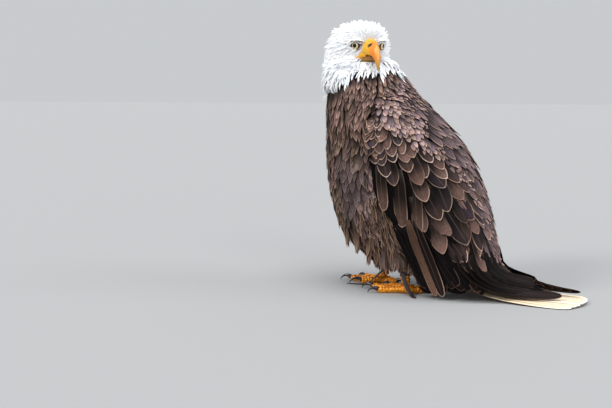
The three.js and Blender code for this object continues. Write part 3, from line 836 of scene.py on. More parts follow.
def bodyCoat(layer):
    coat = coats[layer]

    def spacing(spots):
        bird = toBird(spots)
        high = smoothstep(375, 430, bird[:, 2])
        return fade(*coat["spacing"], mantleShare(bird)) * (1 - 0.25 * high) / 1000

    roots, normals = scatter(form, spacing, keepBody, tries=7, upright=coat["upright"])
    count = len(roots)
    bird = toBird(roots)
    side, height = np.abs(bird[:, 0]), bird[:, 2]
    found = zones(roots)
    onWing, onThigh = np.isin(found, wingZone), np.isin(found, thighZone)
    slope = mantleShare(bird)
    back = np.where(onWing, 1.0, slope)
    low, high = smoothstep(240, 110, height), smoothstep(370, 430, height)
    belly = low * (1 - back)
    flank = (1 - back) * smoothstep(62, 80, side) * smoothstep(330, 280, height)
    flank = np.maximum(flank, onThigh * smoothstep(120, 170, height) * 0.8)
    wander = rng.normal(0, 0.12, count) + 0.5 * ripple(roots, 42, 2.2) * (1 - 0.5 * slope)
    lies = onSurface(columns(0, 0.05 + 0.3 * slope + 0.25 * low, -1), normals)
    lies = turned(lies, normals, wander)
    size = 1 - 0.3 * high
    length = fade(*coat["long"], back) * (1 + 0.35 * belly) * size * between(0.8, 1.25, count)
    length = length * (1 + 0.25 * flank) + 14 * onThigh
    half = fade(*coat["half"], back) * size * between(0.75, 1.25, count)
    half = half * (1 + 0.45 * flank) * (1 - 0.25 * onThigh * low)
    mantle = mixTones(mantleTones, count)
    tint = np.where(back[:, None] > 0.5, mantle, mixTones(breastTones, count))
    # colour and fringe darken together in patches about 26 mm across: partly the body's own mottling, partly
    # a painted shade in the gaps between clumps of feathers
    patchy = np.clip(0.5 + ripple(roots, 26, 5.5), 0, 1)[:, None]
    front = smoothstep(-95, -135, bird[:, 1]) * smoothstep(300, 340, height)
    rosy = smoothstep(40, 70, side) * smoothstep(330, 370, height) * (1 - back)
    tint = coloured(tint, (mixTones(["5f5255", "6a5c5e", "54474a"], count), flank * 0.8),
                    ("4a3f33", 0.7 * front), ("7d625e", 0.6 * rosy))
    even = 0.35 * back[:, None]
    tint = tint * (0.3 + even * 0.55 + (0.95 - even * 0.8) * patchy) * between(0.55, 1.2, count)[:, None]
    tint = tint * (1 + even) * (1 - 0.3 * belly[:, None]) * coat["bright"]
    edge = mixTones(fringeTones, count) * (0.45 + 0.55 * patchy)
    loose = np.clip(belly * 0.75 + onThigh * 0.3, 0, 0.85) * rng.random(count) ** 0.8
    fringe = between(0.1, 0.75, count) * (0.8 + 0.45 * back) * (1 - 0.5 * flank)
    lift = coat["lift"] + 1.6 * low + 1.4 * rng.random(count) ** 2
    lift = lift + 3.2 * onWing * smoothstep(34, 6, height - mantleFoot(bird))
    made = look(count, length, half, sunk=3.4, lift=lift, camber=0.2, fringe=fringe, tint=tint, edge=edge,
                loose=loose)
    kept = ~(onThigh & (bird[:, 1] > 4) & (side > 60))
    if coat["thinned"]:
        # fewest on the flanks, where the layer below shows smooth
        kept &= rng.random(count) > 0.85 * flank + 0.15
    groups = {"breast": ~onThigh & (back <= 0.5), "mantle": ~onThigh & (back > 0.5), "thigh": onThigh}
    for group, inGroup in groups.items():
        chosen = inGroup & kept
        layFeathers(group + "_" + layer + "_feathers", "mantle" if group == "mantle" else "body", formTree,
                    roots[chosen], lies[chosen], {key: value[chosen] for key, value in made.items()})


bodyCoat("under")
bodyCoat("over")

# Loose pointed tufts hang from the belly and the front of the thighs: where each one's tip
# hangs (x, y, z), how long it is and its feathers' half width, all mm
tufts = {"tips": [(30, -119, 132, 96, 7.5), (44, -97, 90, 108, 8), (8, -128, 150, 84, 7),
                  (58, -70, 78, 92, 7.5), (-20, -122, 128, 90, 7.5), (-46, -104, 96, 96, 7.5),
                  (20, -108, 112, 90, 7), (66, -44, 60, 84, 7), (52, -30, 52, 70, 7),
                  (-62, -96, 70, 80, 7), (-10, -112, 118, 84, 7)], "each": 11}
roots, ends, half = [], [], []
for x, y, z, long, wide in tufts["tips"]:
    for _ in range(tufts["each"]):
        spread = rng.normal(0, 1, 2)
        start = place(x + 11 * spread[0], y - 4, z + long * (0.75 + 0.22 * rng.random()))
        roots.append(formTree.find_nearest(start)[0])
        ends.append(place(x + 2.2 * spread[0], y + 2 * spread[1], z + rng.normal(0, 7)))
        half.append(wide * between(0.6, 1.05, 1)[0])
roots, count = np.array(roots), len(roots)
hang = np.array(ends) - roots
layFeathers("belly_tufts", "body", formTree, roots, unit(hang),
            look(count, np.linalg.norm(hang, axis=1) * 1000, half, sunk=2.0, camber=0.3,
                 fringe=between(0.2, 0.7, count),
                 tint=mixTones(["4a392e", "5c4636", "33271f", "6e5643"], count),
                 edge=mixTones(fringeTones, count) * 0.8, loose=between(0.75, 1.0, count)))

# the thighs' long feathers hang round the shanks, and fine strands fan over the flank behind them
stances = {"left": {"sign": 1, "pad": (38, 32), "hock": (44, 14)},
           "right": {"sign": -1, "pad": (-36, -42), "hock": (-41, -42)}}
thighCoat = {"half": 6.5, "count": 150, "height": (72, 128), "tips": (34, 52)}
strands = {"count": 230, "side": (52, 84), "height": (110, 215), "long": (30, 66), "half": (0.6, 1.3)}
for sideName, stance in stances.items():
    sign, pad = stance["sign"], stance["pad"]
    count = thighCoat["count"]
    turn = rng.random(count) * 2 * math.pi
    height = between(*thighCoat["height"], count)
    reach = 13 + (height - 56) * 0.26
    x, y = np.sin(turn), np.cos(turn)
    roots = columns(pad[0] + 4 * sign + reach * x, pad[1] - 14 + reach * 1.3 * y, height)
    roots, _ = nearestOn(formTree, fromBird(roots))
    lies = unit(columns(-0.12 * x, 0.12 - 0.12 * y, -1) + rng.normal(0, 0.07, (count, 3)))
    length = np.clip(toBird(roots)[:, 2] - between(*thighCoat["tips"], count), 25, 90)
    layFeathers("thigh_" + sideName + "_long_feathers", "body", formTree, roots, lies,
                look(count, length, thighCoat["half"] * between(0.6, 1.1, count), sunk=2.0, lift=2.0,
                     camber=0.3, fringe=between(0.1, 0.5, count),
                     tint=mixTones(["54453c", "3f332d", "66554a", "5b4c4c"], count),
                     edge=mixTones(fringeTones, count) * 0.75, loose=between(0.5, 0.9, count)))
    count = strands["count"]
    roots = columns(sign * between(*strands["side"], count), 10 - 75 * rng.random(count) ** 1.8,
                    between(*strands["height"], count))
    roots, _ = nearestOn(formTree, fromBird(roots))
    fan = between(0.0, 0.75, count)
    lies = unit(columns(0, fan, -1) + rng.normal(0, 0.05, (count, 3)))
    layFeathers("flank_" + sideName + "_strands", "strand", formTree, roots, lies,
                look(count, between(*strands["long"], count), between(*strands["half"], count), sunk=1.0,
                     lift=between(3, 6, count), camber=0.2,
                     tint=mixTones(["7d6454", "5b473c", "8d705c", "453630"], count),
                     edge=mixTones(fringeTones, count), loose=between(0.3, 0.8, count)))


# Level rings round the folded wing: height, back in the middle line, broadest line, half width,
# leading edge, and how far its inner edge keeps from the middle line. They are turned round, so
# that the heights rise.
wingRings = np.array([
    [398, 36, -14, 84, -22, 52], [346, 88, -4, 111, -34, 46], [294, 131, 10, 119, -30, 30],
    [244, 158, 28, 118, -24, 12], [194, 178, 50, 113, -16, 1], [144, 192, 84, 104, 22, 1],
    [94, 203, 112, 93, 44, 1], [56, 213, 128, 84, 52, 1], [26, 222, 146, 76, 66, 1]], float)[::-1]
# the share of v that is round the back, how square that is, and the side's own radius in mm
wingShape = {"corner": 0.62, "square": 0.82, "sideRadius": 170}
wingSides = (("left", 1), ("right", -1))


def ringAt(height):
    return [np.interp(height, wingRings[:, 0], wingRings[:, i]) for i in range(1, 6)]


def wingSide(y, height):
    # how far out the folded wing's flat side stands
    _, broadest, half, _, _ = ringAt(height)
    return half * math.sqrt(1 - ((broadest - y) / wingShape["sideRadius"]) ** 2)


def wingSpot(side, height, v):
    # v runs from the inner edge (0) round the back to the leading edge (1)
    back, broadest, half, edge, opening = ringAt(height)
    corner, square = wingShape["corner"], wingShape["square"]
    start = math.asin(min(1, opening / half) ** (1 / square))
    if v < corner:
        turn = start + (math.pi / 2 - start) * v / corner
        x = half * abs(math.sin(turn)) ** square
        y = broadest + (back - broadest) * max(0.0, math.cos(turn)) ** square
    else:
        y = broadest + (edge - broadest) * (v - corner) / (1 - corner)
        x = wingSide(y, height)
    return np.array(place(side * x, y, height))


# Coverts lie in rows that slope down towards the back. half and long are a feather's half width
# and length by the height of its tip, foot is the lowest tip by how far back it hangs, and tops
# the highest by v. Last, the row of the greater coverts, the lowest.
covertRows = {"rows": 34, "highest": 508.6, "pitch": 12.5, "slope": 0.58, "smallAbove": 262,
              "heights": [60, 120, 200, 262, 345], "half": [16.5, 18.5, 19, 14.5, 9.5],
              "long": [84, 84, 78, 58, 38], "back": [-30, 0, 38, 70, 100, 106, 126, 157, 194, 230],
              "foot": [262, 252, 216, 196, 164, 134, 88, 60, 56, 60],
              "v": [0.0, 0.12, 0.3, 0.5, 0.7, 1.0], "tops": [215, 235, 268, 305, 338, 350],
              "greater": {"v": (0.14, 0.56, 0.058), "long": 98, "half": 17.5}}


def wingGirth(side, height):
    line = np.array([wingSpot(side, height, v) for v in np.linspace(0, 1, 30)])
    return np.linalg.norm(np.diff(line, axis=0), axis=1).sum() * 1000


def covertFeathers(side):
    # each feather's v, height of the tip, length, half width and turn aside, the lowest first
    rows, made = covertRows, []
    for row in range(rows["rows"]):
        v, back = 1.0 - 0.03 * (row % 2), 0.0
        while v > 0.05:
            tip = rows["highest"] - row * rows["pitch"] - rows["slope"] * back
            half = float(np.interp(tip, rows["heights"], rows["half"])) * (0.72 + 0.3 * v ** 0.5)
            step = half * 1.5
            spot = toBird(wingSpot(side, max(tip, 27), v))
            lowest = np.interp(spot[1], rows["back"], rows["foot"])
            highest = np.interp(v, rows["v"], rows["tops"])
            if (tip > rows["smallAbove"] or row % 2 == 0) and lowest < tip < highest:
                size = between(0.84, 1.14, 1)[0]
                long = np.interp(tip, rows["heights"], rows["long"]) * size
                made.append((np.clip(v + rng.normal(0, 0.012), 0.02, 0.955),
                             tip + rng.normal(0, 0.22 * half), long, half * size, rng.normal(0, 0.1)))
            back += step
            v -= step / wingGirth(side, min(max(tip, 27), 395))
    greater = rows["greater"]
    for v in np.arange(*greater["v"]):
        spot = toBird(wingSpot(side, 80, v))
        tip = np.interp(spot[1], rows["back"], rows["foot"]) - between(2, 12, 1)[0]
        made.append((v, tip, greater["long"], greater["half"], rng.normal(0, 0.05)))
    return sorted(made, key=lambda f: f[1])


def layOnWing(sideName, side, kind, part, surface, rows, **settings):
    v, tip, long, half, turn = np.array(rows).T
    high = tip + long * 0.97
    roots = np.array([wingSpot(side, *spot) for spot in zip(high, v)])
    ahead = np.array([wingSpot(side, *spot) for spot in zip(high - 12, v)])
    lies = turned(unit(ahead - roots), nearestOn(surface, roots)[1], turn)
    made = look(len(v), long, half, **settings)
    if part == "coverts":
        # twisted a little more than others
        made["twist"] = rng.normal(0, 0.08, len(v))
    # girth across and height up, the wing laid out flat
    unwrap = columns(0.03 + 0.9 * v, 0.03 + 0.88 * np.clip((tip - 10) / 350, 0, 1))
    layFeathers("wing_" + sideName + "_" + part, kind, surface, roots, lies, made, unwrap)


wingFringe = ["d4b09c", "e6c8b5", "bf9783"]
quill = {"places": (0.42, 0.99, 13), "long": 150, "half": 12.5, "v": (0.2, 1.0), "tips": (13, 6), "uneven": 4}
scapular = {"places": (0.03, 0.09, 0.15), "long": 72, "half": 10.5, "step": 21}
for sideName, side in wingSides:
    core = refine("wing_" + sideName + "_core", ["wing_" + sideName], voxel=2, relax=6)
    wingTree = tree(core)
    applyModifier(core, "DISPLACE", strength=-0.0026, mid_level=0)
    # painted near black: a painted shade for the gaps between the feathers laid over it
    paint(core, tone("0d0a0a"))
    finishPiece(core, skinFinish, ["wing_" + sideName])
    rows = covertFeathers(side)
    count = len(rows)
    big = smoothstep(11, 17, np.array([row[3] for row in rows]))
    lift = 1.2 + 2.6 * np.linspace(0, 1, count) + rng.random(count) * (0.8 + 1.8 * big)
    warm = (rng.random(count) < 0.45)[:, None]
    brown = mixTones(["664e47", "745850", "594440", "7e645b"], count)
    tint = np.where(warm, brown, mixTones(["2d2325", "3b2d2b", "4b3a34", "352a31"], count))
    layOnWing(sideName, side, "covert", "coverts", wingTree, rows, sunk=1.6, lift=lift,
              camber=between(0.08, 0.24, count), fringe=between(0.25, 1.0, count), tint=tint,
              edge=mixTones(wingFringe, count))

    # blackish secondaries under the coverts
    rows = [(v, np.interp(v, quill["v"], quill["tips"]) + quill["uneven"] * math.sin(v * 40),
             quill["long"] - 10 * v, quill["half"], 0) for v in np.linspace(*quill["places"])]
    count = len(rows)
    tint = mixTones(["0d0a0b", "130f0f", "1c1513", "0a090c"], count)
    layOnWing(sideName, side, "secondary", "secondaries", wingTree, rows, sunk=0.3,
              lift=np.linspace(2.6, 1.2, count), camber=0.1, fringe=between(0.15, 0.55, count), tint=tint,
              edge=mixTones(["7a5c4b", "96725f"], count))

    # long scapulars over the wing's inner edge
    rows = [(v + rng.normal(0, 0.008), tip + rng.normal(0, 5), scapular["long"], scapular["half"], 0)
            for v in scapular["places"] for tip in np.arange(60 + 90 * v, 345 - 300 * v, scapular["step"])]
    rows.sort(key=lambda f: f[1])
    count = len(rows)
    layOnWing(sideName, side, "covert", "scapulars", wingTree, rows, sunk=1.0,
              lift=2.0 + 3.0 * np.linspace(0, 1, count), camber=0.15, fringe=between(0.2, 0.7, count),
              tint=mixTones(["705c61", "5c4c50", "7f686e", "4c3f43"], count),
              edge=mixTones(wingFringe, count) * 0.8, loose=between(0, 0.3, count))


def runThrough(places, shares, up):
    # a smooth run of stations through a few places
    line = np.array([place(*p) for p in places])
    chord = np.concatenate([[0], np.cumsum(np.linalg.norm(np.diff(line, axis=0), axis=1))])
    bend = np.linspace(0, chord[-1], 60)
    smooth = np.stack([np.interp(bend, chord, line[:, i]) for i in range(3)], 1)
    for _ in range(40):
        smooth[1:-1] = smooth[1:-1] * 0.5 + (smooth[:-2] + smooth[2:]) * 0.25
    spots = np.stack([np.interp(shares * chord[-1], bend, smooth[:, i]) for i in range(3)], 1)
    lines = unit(np.gradient(spots, axis=0))
    return spots, onSurface(np.tile(up, (len(shares), 1)), lines), lines, chord[-1]


def layRuns(name, kind, runs, half, unwrap, replaced=(), **settings):
    # feathers laid along runs of their own, each its places and its upward side
    shares = vanes[kinds[kind][0]]["stations"]
    spots, ups, lines, long = (np.array(part) for part in
                               zip(*(runThrough(places, shares, up) for places, up in runs)))
    made = look(len(runs), long * 1000, half, sunk=0.0, **settings)
    unwrap = columns(*unwrap) + np.zeros((len(runs), 1))
    layFeathers(name, kind, None, spots[:, 0], lines[:, 0], made, unwrap, (spots, ups, lines), replaced)


# the lowest coverts at the front hang loose, dark gaps between them: how far back, height of the
# tip, half width and length; and at a share of that length, how far they stand out and back
looseCoverts = {"places": [(1, 175, 11.5, 112), (38, 144, 15, 116), (71, 130, 13.5, 134)],
                "stops": [(1, -1, -5), (0.6, 1.5, -2), (0.3, 3, 0), (0, 2, 1)]}
for sideName, side in wingSides:
    runs = [([(side * (wingSide(y, tip + long * share) + out), y + back, tip + long * share)
              for share, out, back in looseCoverts["stops"]], (side, -0.25, 0.1))
            for y, tip, _, long in looseCoverts["places"]]
    half = np.array([spot[2] for spot in looseCoverts["places"]])
    layRuns("wing_" + sideName + "_loose_coverts", "looseCovert", runs, half, (np.linspace(0.7, 0.9, 3), 0.4),
            lift=0, camber=0.2, fringe=0.75, tint=mixTones(["604a40", "543f38"], 3),
            edge=mixTones(wingFringe, 3))

# two browner secondaries lie over the black ones behind the leg: how far back, height, and how
# far they stand out; the second lies further forward and out
brownQuills = [(52, 160, 0.5), (60, 130, 5), (70, 106, 8.5), (80, 80, 9.5), (92, 42, 8), (104, 8, 6)]
for sideName, side in wingSides:
    runs = [([(side * (wingSide(y + back, z) + out + more), y + back, z) for y, z, out in brownQuills],
             (side, -0.1, 0.1)) for back, more in ((14, 0.0), (0, 1.6))]
    layRuns("wing_" + sideName + "_brown_secondaries", "secondary", runs, np.array([10.5, 9.0]),
            (np.array([0.6, 0.7]), 0.2), lift=0, camber=0.15, fringe=0.7,
            tint=np.array([tone("241b19"), tone("6a4f42")]), edge=mixTones(wingFringe, 2))

# long soft feathers close the back between the two wings
backScapular = {"rows": (174, 350, 20), "aside": (-27, -14, 0, 14, 27), "half": 10.5, "stagger": 6}
runs = []
for low in np.arange(*backScapular["rows"]):
    for x in backScapular["aside"]:
        foot = low + backScapular["stagger"] * ((x // 13) % 2)
        stops = [(min(foot + 64, 388), -9 - 0.2 * max(0, foot - 310)), (foot + 32, -1), (foot, 3)]
        runs.append(([(x * (0.8 if foot > 300 else 1), ringAt(z)[0] + out - 0.12 * abs(x), z)
                      for z, out in stops], (0.012 * x, 1, 0.5)))
count = len(runs)
tops = np.array([places[0] for places, _ in runs])
unrolled = (0.5 + 0.012 * tops[:, 0], (tops[:, 2] - 10) / 480)
layRuns("back_scapulars", "backCovert", runs, backScapular["half"], unrolled,
        lift=np.linspace(0, 3, count), camber=0.2, fringe=between(0.2, 0.7, count),
        tint=mixTones(["6f5c60", "5c4c50", "7d676c", "4c3f43"], count),
        edge=mixTones(wingFringe, count) * 0.8)

# the rump's feathers and the white coverts above the tail fill the fork between the wing tips:
# the height and y of each stop, tones and lift
forkFeathers = {
    "tail_coverts": ("tailCovert", (52, 200, 22, 246, 12, 292), ["efe6d6", "e2d4bc"], 0),
    "rump_feathers": ("backCovert", (96, 190, 60, 214, 34, 246), ["4f403a", "3c302c", "5f4d44"], 2)}
for name, (kind, (z0, y0, z1, y1, z2, y2), tones, lift) in forkFeathers.items():
    sides = np.array([-28, 28, -19, 19, -9, 9, 0])
    runs = [([(x, y0, z0), (x * 1.1, y1, z1), (x * 1.25, y2 - 0.3 * abs(x), z2)], (0.012 * x, 0.6, 1))
            for x in sides]
    layRuns(name, kind, runs, 9.5, (0.5 + 0.01 * sides, 0.08 + 0.03 * lift), lift=np.linspace(0, 2, 7) + lift,
            camber=0.2, fringe=0.4, tint=mixTones(tones, 7), edge=mixTones(wingFringe, 7))

primary = {"count": 6, "half": 13, "tips": {"left": 338, "right": 366}, "step": 17}
for sideName, side in wingSides:
    runs = []
    for i, v in enumerate(np.linspace(0, 1, primary["count"])):
        high, mid = (toBird(wingSpot(side, height, 0.5 - 0.36 * v)) + [side, 1, 0] for height in (96, 58))
        tip = primary["tips"][sideName] - primary["step"] * i
        runs.append(([high, mid, (side * (60 - 30 * v), 212 + 24 * v, 27 + 20 * v),
                      (side * (42 - 26 * v), 262 + 30 * v, 21 + 15 * v),
                      (side * (25 - 18 * v), tip, 18 + 10 * v)], (side * 0.55, 0.35, 0.75)))
    count = len(runs)
    layRuns("wing_" + sideName + "_primaries", "primary", runs, primary["half"],
            (np.linspace(0.1, 0.8, count), 0.1), lift=np.linspace(0.2, 1.0, count), camber=0.12,
            fringe=between(0.2, 0.5, count), tint=mixTones(["110e0f", "181312", "201918"], count),
            edge=mixTones(["7a5f50"], count))

# tail feathers laid on the floor, the middle ones on top
tail = {"count": 12, "half": 15}
runs = []
for aside in sorted(np.linspace(-1, 1, tail["count"]), key=lambda a: -abs(a)):
    top = 2.2 + 5.0 * (1 - aside ** 2) + 0.5 * (aside > 0)
    runs.append(([(aside * 17, 118, 44 + top), (aside * 30, 158, 19 + top), (aside * 42, 214, 5 + top),
                  (aside * 54, 300, 1.2 + top), (aside * 58, 383 - 22 * aside ** 2, 0.8 + top * 0.8)],
                 (aside * 0.1, 0.2, 1)))
count = tail["count"]
layRuns("tail_feathers", "rectrix", runs, tail["half"], (np.linspace(0.05, 0.9, count), 0.1), ["tail"],
        lift=0, camber=0.05, fringe=between(0.6, 1.0, count),
        tint=mixTones(["e9dcc8", "e0cdb2", "d8c0a0"], count), edge=mixTones(["f6f3ec"], count))
print("wings and tail done")


# The bill's rings stand from the cutting edge up to the ridge, in the head's own frame, mm:
# ridge y and z, edge y and z, half width
upperRings = np.array([
    [-28, 16, -12, -23, 21], [-40, 16.5, -30, -22, 19], [-52, 15, -46, -20.5, 14.5],
    [-64, 10.5, -58, -19.5, 11.5], [-75, 3.5, -67, -20, 9], [-83, -7, -74, -22.5, 7],
    [-88, -20, -79.5, -28, 5], [-90, -33, -84, -37, 3], [-88.5, -43, -87, -44, 0.8]])
lowerRings = np.array([
    [-14, -21, -16, -29, 17], [-34, -21, -32, -32, 14], [-50, -20.5, -48, -31.5, 10.5],
    [-62, -20, -60, -28.5, 7.5], [-69, -20.5, -69, -25, 4.5]])


def ringAlong(rings, share):
    # a smooth reading between the rings (Catmull-Rom)
    last = len(rings) - 1
    spot = np.clip(share, 0, 1) * last
    i = np.minimum(spot.astype(int), last - 1)
    f = (spot - i)[:, None]
    p0, p1 = rings[np.maximum(i - 1, 0)], rings[i]
    p2, p3 = rings[i + 1], rings[np.minimum(i + 2, last)]
    return 0.5 * (2 * p1 + (p2 - p0) * f + (2 * p0 - 5 * p1 + 4 * p2 - p3) * f ** 2
                  + (3 * p1 - p0 - 3 * p2 + p3) * f ** 3)


def addBall(name, around, rings):
    bpy.ops.mesh.primitive_uv_sphere_add(segments=around, ring_count=rings, radius=1)
    bpy.context.object.name = name
    return bpy.context.object, points(bpy.context.object)


def loftBill(name, rings, narrow, flatEdge):
    # a ball drawn out through the rings: narrow on its ridge, flat between its cutting edges
    bill, ball = addBall(name, 44, 48)
    share = np.arccos(np.clip(ball[:, 2], -1, 1)) / math.pi
    pole = np.minimum(1, np.hypot(ball[:, 0], ball[:, 1]) * 1e6)
    turn = np.arctan2(ball[:, 0], ball[:, 1])
    ridgeY, ridgeZ, edgeY, edgeZ, half = ringAlong(rings, share).T
    rise = columns(0, ridgeY - edgeY, ridgeZ - edgeZ) / 2
    up = np.cos(turn)
    height = np.sign(up) * np.abs(up) ** 0.85
    height = np.where(height < -flatEdge, -flatEdge + (height + flatEdge) * 0.25, height)
    local = columns(0, edgeY, edgeZ) + rise + rise * (pole * height)[:, None]
    local[:, 0] = pole * half * np.sin(turn) * (1 - narrow * up) * (0.55 + 0.45 * np.minimum(1, share * 9))
    return bill, local


# Bill: layered keratin under a waxy cere, smooth and slightly glossy, deep yellow to orange
billFinish = tintedSurface("keratin, waxy yellow", grain=6, contrast=0.06, bumpDeep=0.15,
                           settings={"Roughness": 0.34, "Specular IOR Level": 0.5,
                                     "Subsurface Weight": 0.12, "Subsurface Scale": 0.004},
                           stretch=(1, 1, 0.35))
nostril = {"y": -57, "z": 4.3, "long": 5.6, "high": 3.2, "slant": 38, "deep": 3.2}
cere = {"y": -57, "z": 4, "slope": 0.35, "step": 0.7}


def inNostril(local):
    # 1 on the slit's rim and less inside it
    slant = math.radians(nostril["slant"])
    y, z = local[:, 1] - nostril["y"], local[:, 2] - nostril["z"]
    along = z * math.sin(slant) - y * math.cos(slant)
    across = y * math.sin(slant) + z * math.cos(slant)
    return (along / nostril["long"]) ** 2 + (across / nostril["high"]) ** 2


def behindCere(local):
    return local[:, 1] - cere["y"] - cere["slope"] * (local[:, 2] - cere["z"])


bill, local = loftBill("bill_upper_horn", upperRings, narrow=0.34, flatEdge=0.72)
# the cere's edge is a low step, and behind it the waxy skin swells a little
swell = smoothstep(-1.2, 1.2, behindCere(local)) * cere["step"]
local[:, 0] += np.sign(local[:, 0]) * swell
local[:, 2] += np.where(local[:, 2] > 5, swell, 0)
hole = smoothstep(1.5, 0.5, inNostril(local)) * (np.abs(local[:, 0]) > 4)
local[:, 0] -= np.sign(local[:, 0]) * hole * nostril["deep"]
setPoints(bill, fromHead(local))
outwards(bill)
applyModifier(bill, "SUBSURF", levels=1, render_levels=1)
local = toHead(points(bill))
aside, y, z = np.abs(local[:, 0]), local[:, 1], local[:, 2]
# behind the cere the horn passes into the bare streaked skin of the lores
lore = -32 - 9 * smoothstep(4, 12, aside) + 14 * smoothstep(-9, -15, z)
paint(bill, coloured(
    "e6821a", ("e0a41c", smoothstep(-9, 5, behindCere(local))),
    # paler along the ridge over the hook: a painted highlight
    ("f2b058", 0.5 * smoothstep(4, 0, aside - 1.5) * smoothstep(-70, -80, y)),
    ("a98a3c", 0.85 * smoothstep(-8, -44, z) * (y < -70)),
    ("c98a12", 0.55 * smoothstep(-8, -22, z) * (y > -80)),
    # darker along the cutting edge: painted shade along the mouth line
    ("c06a12", 0.35 * smoothstep(2.6, 0.4, z + 21.5) * (y > -70)),
    # the nostril's slit near black: painted shade in the opening
    ("23120a", smoothstep(1.35, 0.75, inNostril(local)) * (aside > 3)),
    (bareSkin(local), smoothstep(-1.5, 1.5, y - lore) * smoothstep(13, 8, z))))

# The bare yellow gape runs back from the bill under each eye, above and below the mouth line:
# its middle line and half heights
gape = {"upper": {"line": [(13.6, -50, -15), (19.0, -37, -17.5), (23.6, -28, -20), (26.8, -19, -22.2),
                           (28.6, -9, -24.6)],
                  "high": [6.4, 6.2, 4.6, 2.6, 0.8], "tone": "e2a51f", "mouth": -1},
        "lower": {"line": [(14.5, -46, -25), (18.6, -37, -25.5), (22.8, -28, -26), (26.3, -19, -26.2),
                           (28.2, -11, -26.4)],
                  "high": [3.4, 3.0, 2.4, 1.7, 0.8], "tone": "c9952e", "mouth": 1}}
gapeShape = {"thick": 2.2, "stops": 24, "out": (0.93, -0.36)}
gapeFinish = tintedSurface("bare waxy skin", grain=2.2, contrast=0.18, bumpDeep=0.35,
                           settings={"Roughness": 0.42, "Specular IOR Level": 0.4})


def offLine(spots, line):
    # how far points stand from the nearest stop of a line, and which stop that is
    nearest = np.argmin(np.linalg.norm(spots[:, None] - line[None], axis=2), axis=1)
    return spots - line[nearest], nearest


def gapeStrip(side, part):
    line = np.array(part["line"], float) * [side, 1, 1]
    if side > 0:
        # the left one ends further forward
        line[-2:] = line[-2:] * 0.35 + line[-3] * 0.65
    shares = np.linspace(0, 1, gapeShape["stops"])
    middle = ringAlong(line, shares)
    # its rear half clings to the skin of the cheek
    spots, normals = nearestOn(skinTree, fromHead(middle))
    middle = fade(middle, toHead(spots + normals * 0.0006), smoothstep(0.3, 0.55, shares)[:, None])
    tall = ringAlong(np.array(part["high"])[:, None], shares)[:, 0]
    strip = tube("gape", fromHead(middle), tall, around=4)
    spots = toHead(points(strip))
    offset, nearest = offLine(spots, middle)
    thick = gapeShape["thick"] * (0.12 + 0.88 * smoothstep(0.05, 0.55, shares))
    out = np.array([side * gapeShape["out"][0], gapeShape["out"][1], 0])
    flatten = np.minimum(1, thick / tall)[nearest] - 1
    spots = spots + out * ((offset @ out) * flatten)[:, None]
    setPoints(strip, fromHead(spots))
    # darker towards the mouth line: painted shade in the crease between the two strips
    crease = smoothstep(0.2, 0.8, part["mouth"] * offset[:, 2] / tall[nearest])
    paint(strip, coloured(part["tone"], ("7a4a24", 0.7 * smoothstep(-24, -12, spots[:, 1])),
                          ("5a3012", 0.75 * crease)))
    return strip


strips = [gapeStrip(side, gape[part]) for side in (1, -1) for part in ("upper", "lower")]
onlySelect(*strips)
bpy.ops.object.join()
gapeSkin = bpy.context.view_layer.objects.active
gapeSkin.name = "gape_skin"
finishPiece(gapeSkin, gapeFinish)
finishPiece(bill, billFinish, ["bill_upper"])

jaw, local = loftBill("bill_lower_horn", lowerRings, narrow=-0.1, flatEdge=0.95)
# broader towards the tip and towards the mouth line, and raised to meet the upper bill
local[:, 0] *= 1.3 + 0.3 * smoothstep(-30, -46, local[:, 1])
local[:, 0] *= 1 + 0.3 * smoothstep(-27, -22, local[:, 2])
local[:, 2] += 2.4 + 1.2 * smoothstep(-44, -54, local[:, 1])
setPoints(jaw, fromHead(local))
outwards(jaw)
local = toHead(points(jaw))
paint(jaw, coloured("b98224", ("d9a03a", smoothstep(-46, -30, local[:, 1])),
                    ("5c4618", 0.45 * smoothstep(-25, -31, local[:, 2])),
                    # darker along its top edge: painted shade where it meets the upper bill
                    ("6a3a14", 0.8 * smoothstep(-22.0, -20.6, local[:, 2]))))
finishPiece(jaw, billFinish, ["bill_lower"])

# Eyes: a wet ball with a clear bulge in front, a pale iris and a round black pupil
eye = {"radius": 10.5, "middle": (23.5, -22, 2.5), "aside": 47, "pupil": 4.3, "iris": 8.0, "bulge": 0.07}
lidShape = {"radius": 10.8, "spread": 51, "stops": 48}
browLine = [(12.5, -41, 10.5), (21, -38.5, 12.2), (30, -33.5, 12.8), (37, -25, 11.0), (41, -14, 7.8)]
eyeFinish = tintedSurface("eye, wet", grain=1.2, contrast=0.07, bumpDeep=0.0,
                          settings={"Roughness": 0.12, "Specular IOR Level": 0.25, "Coat Weight": 0.2,
                                    "Coat Roughness": 0.03})
lidFinish = tintedSurface("bare skin of the lids", grain=1.5, contrast=0.2, bumpDeep=0.2,
                          settings={"Roughness": 0.5})

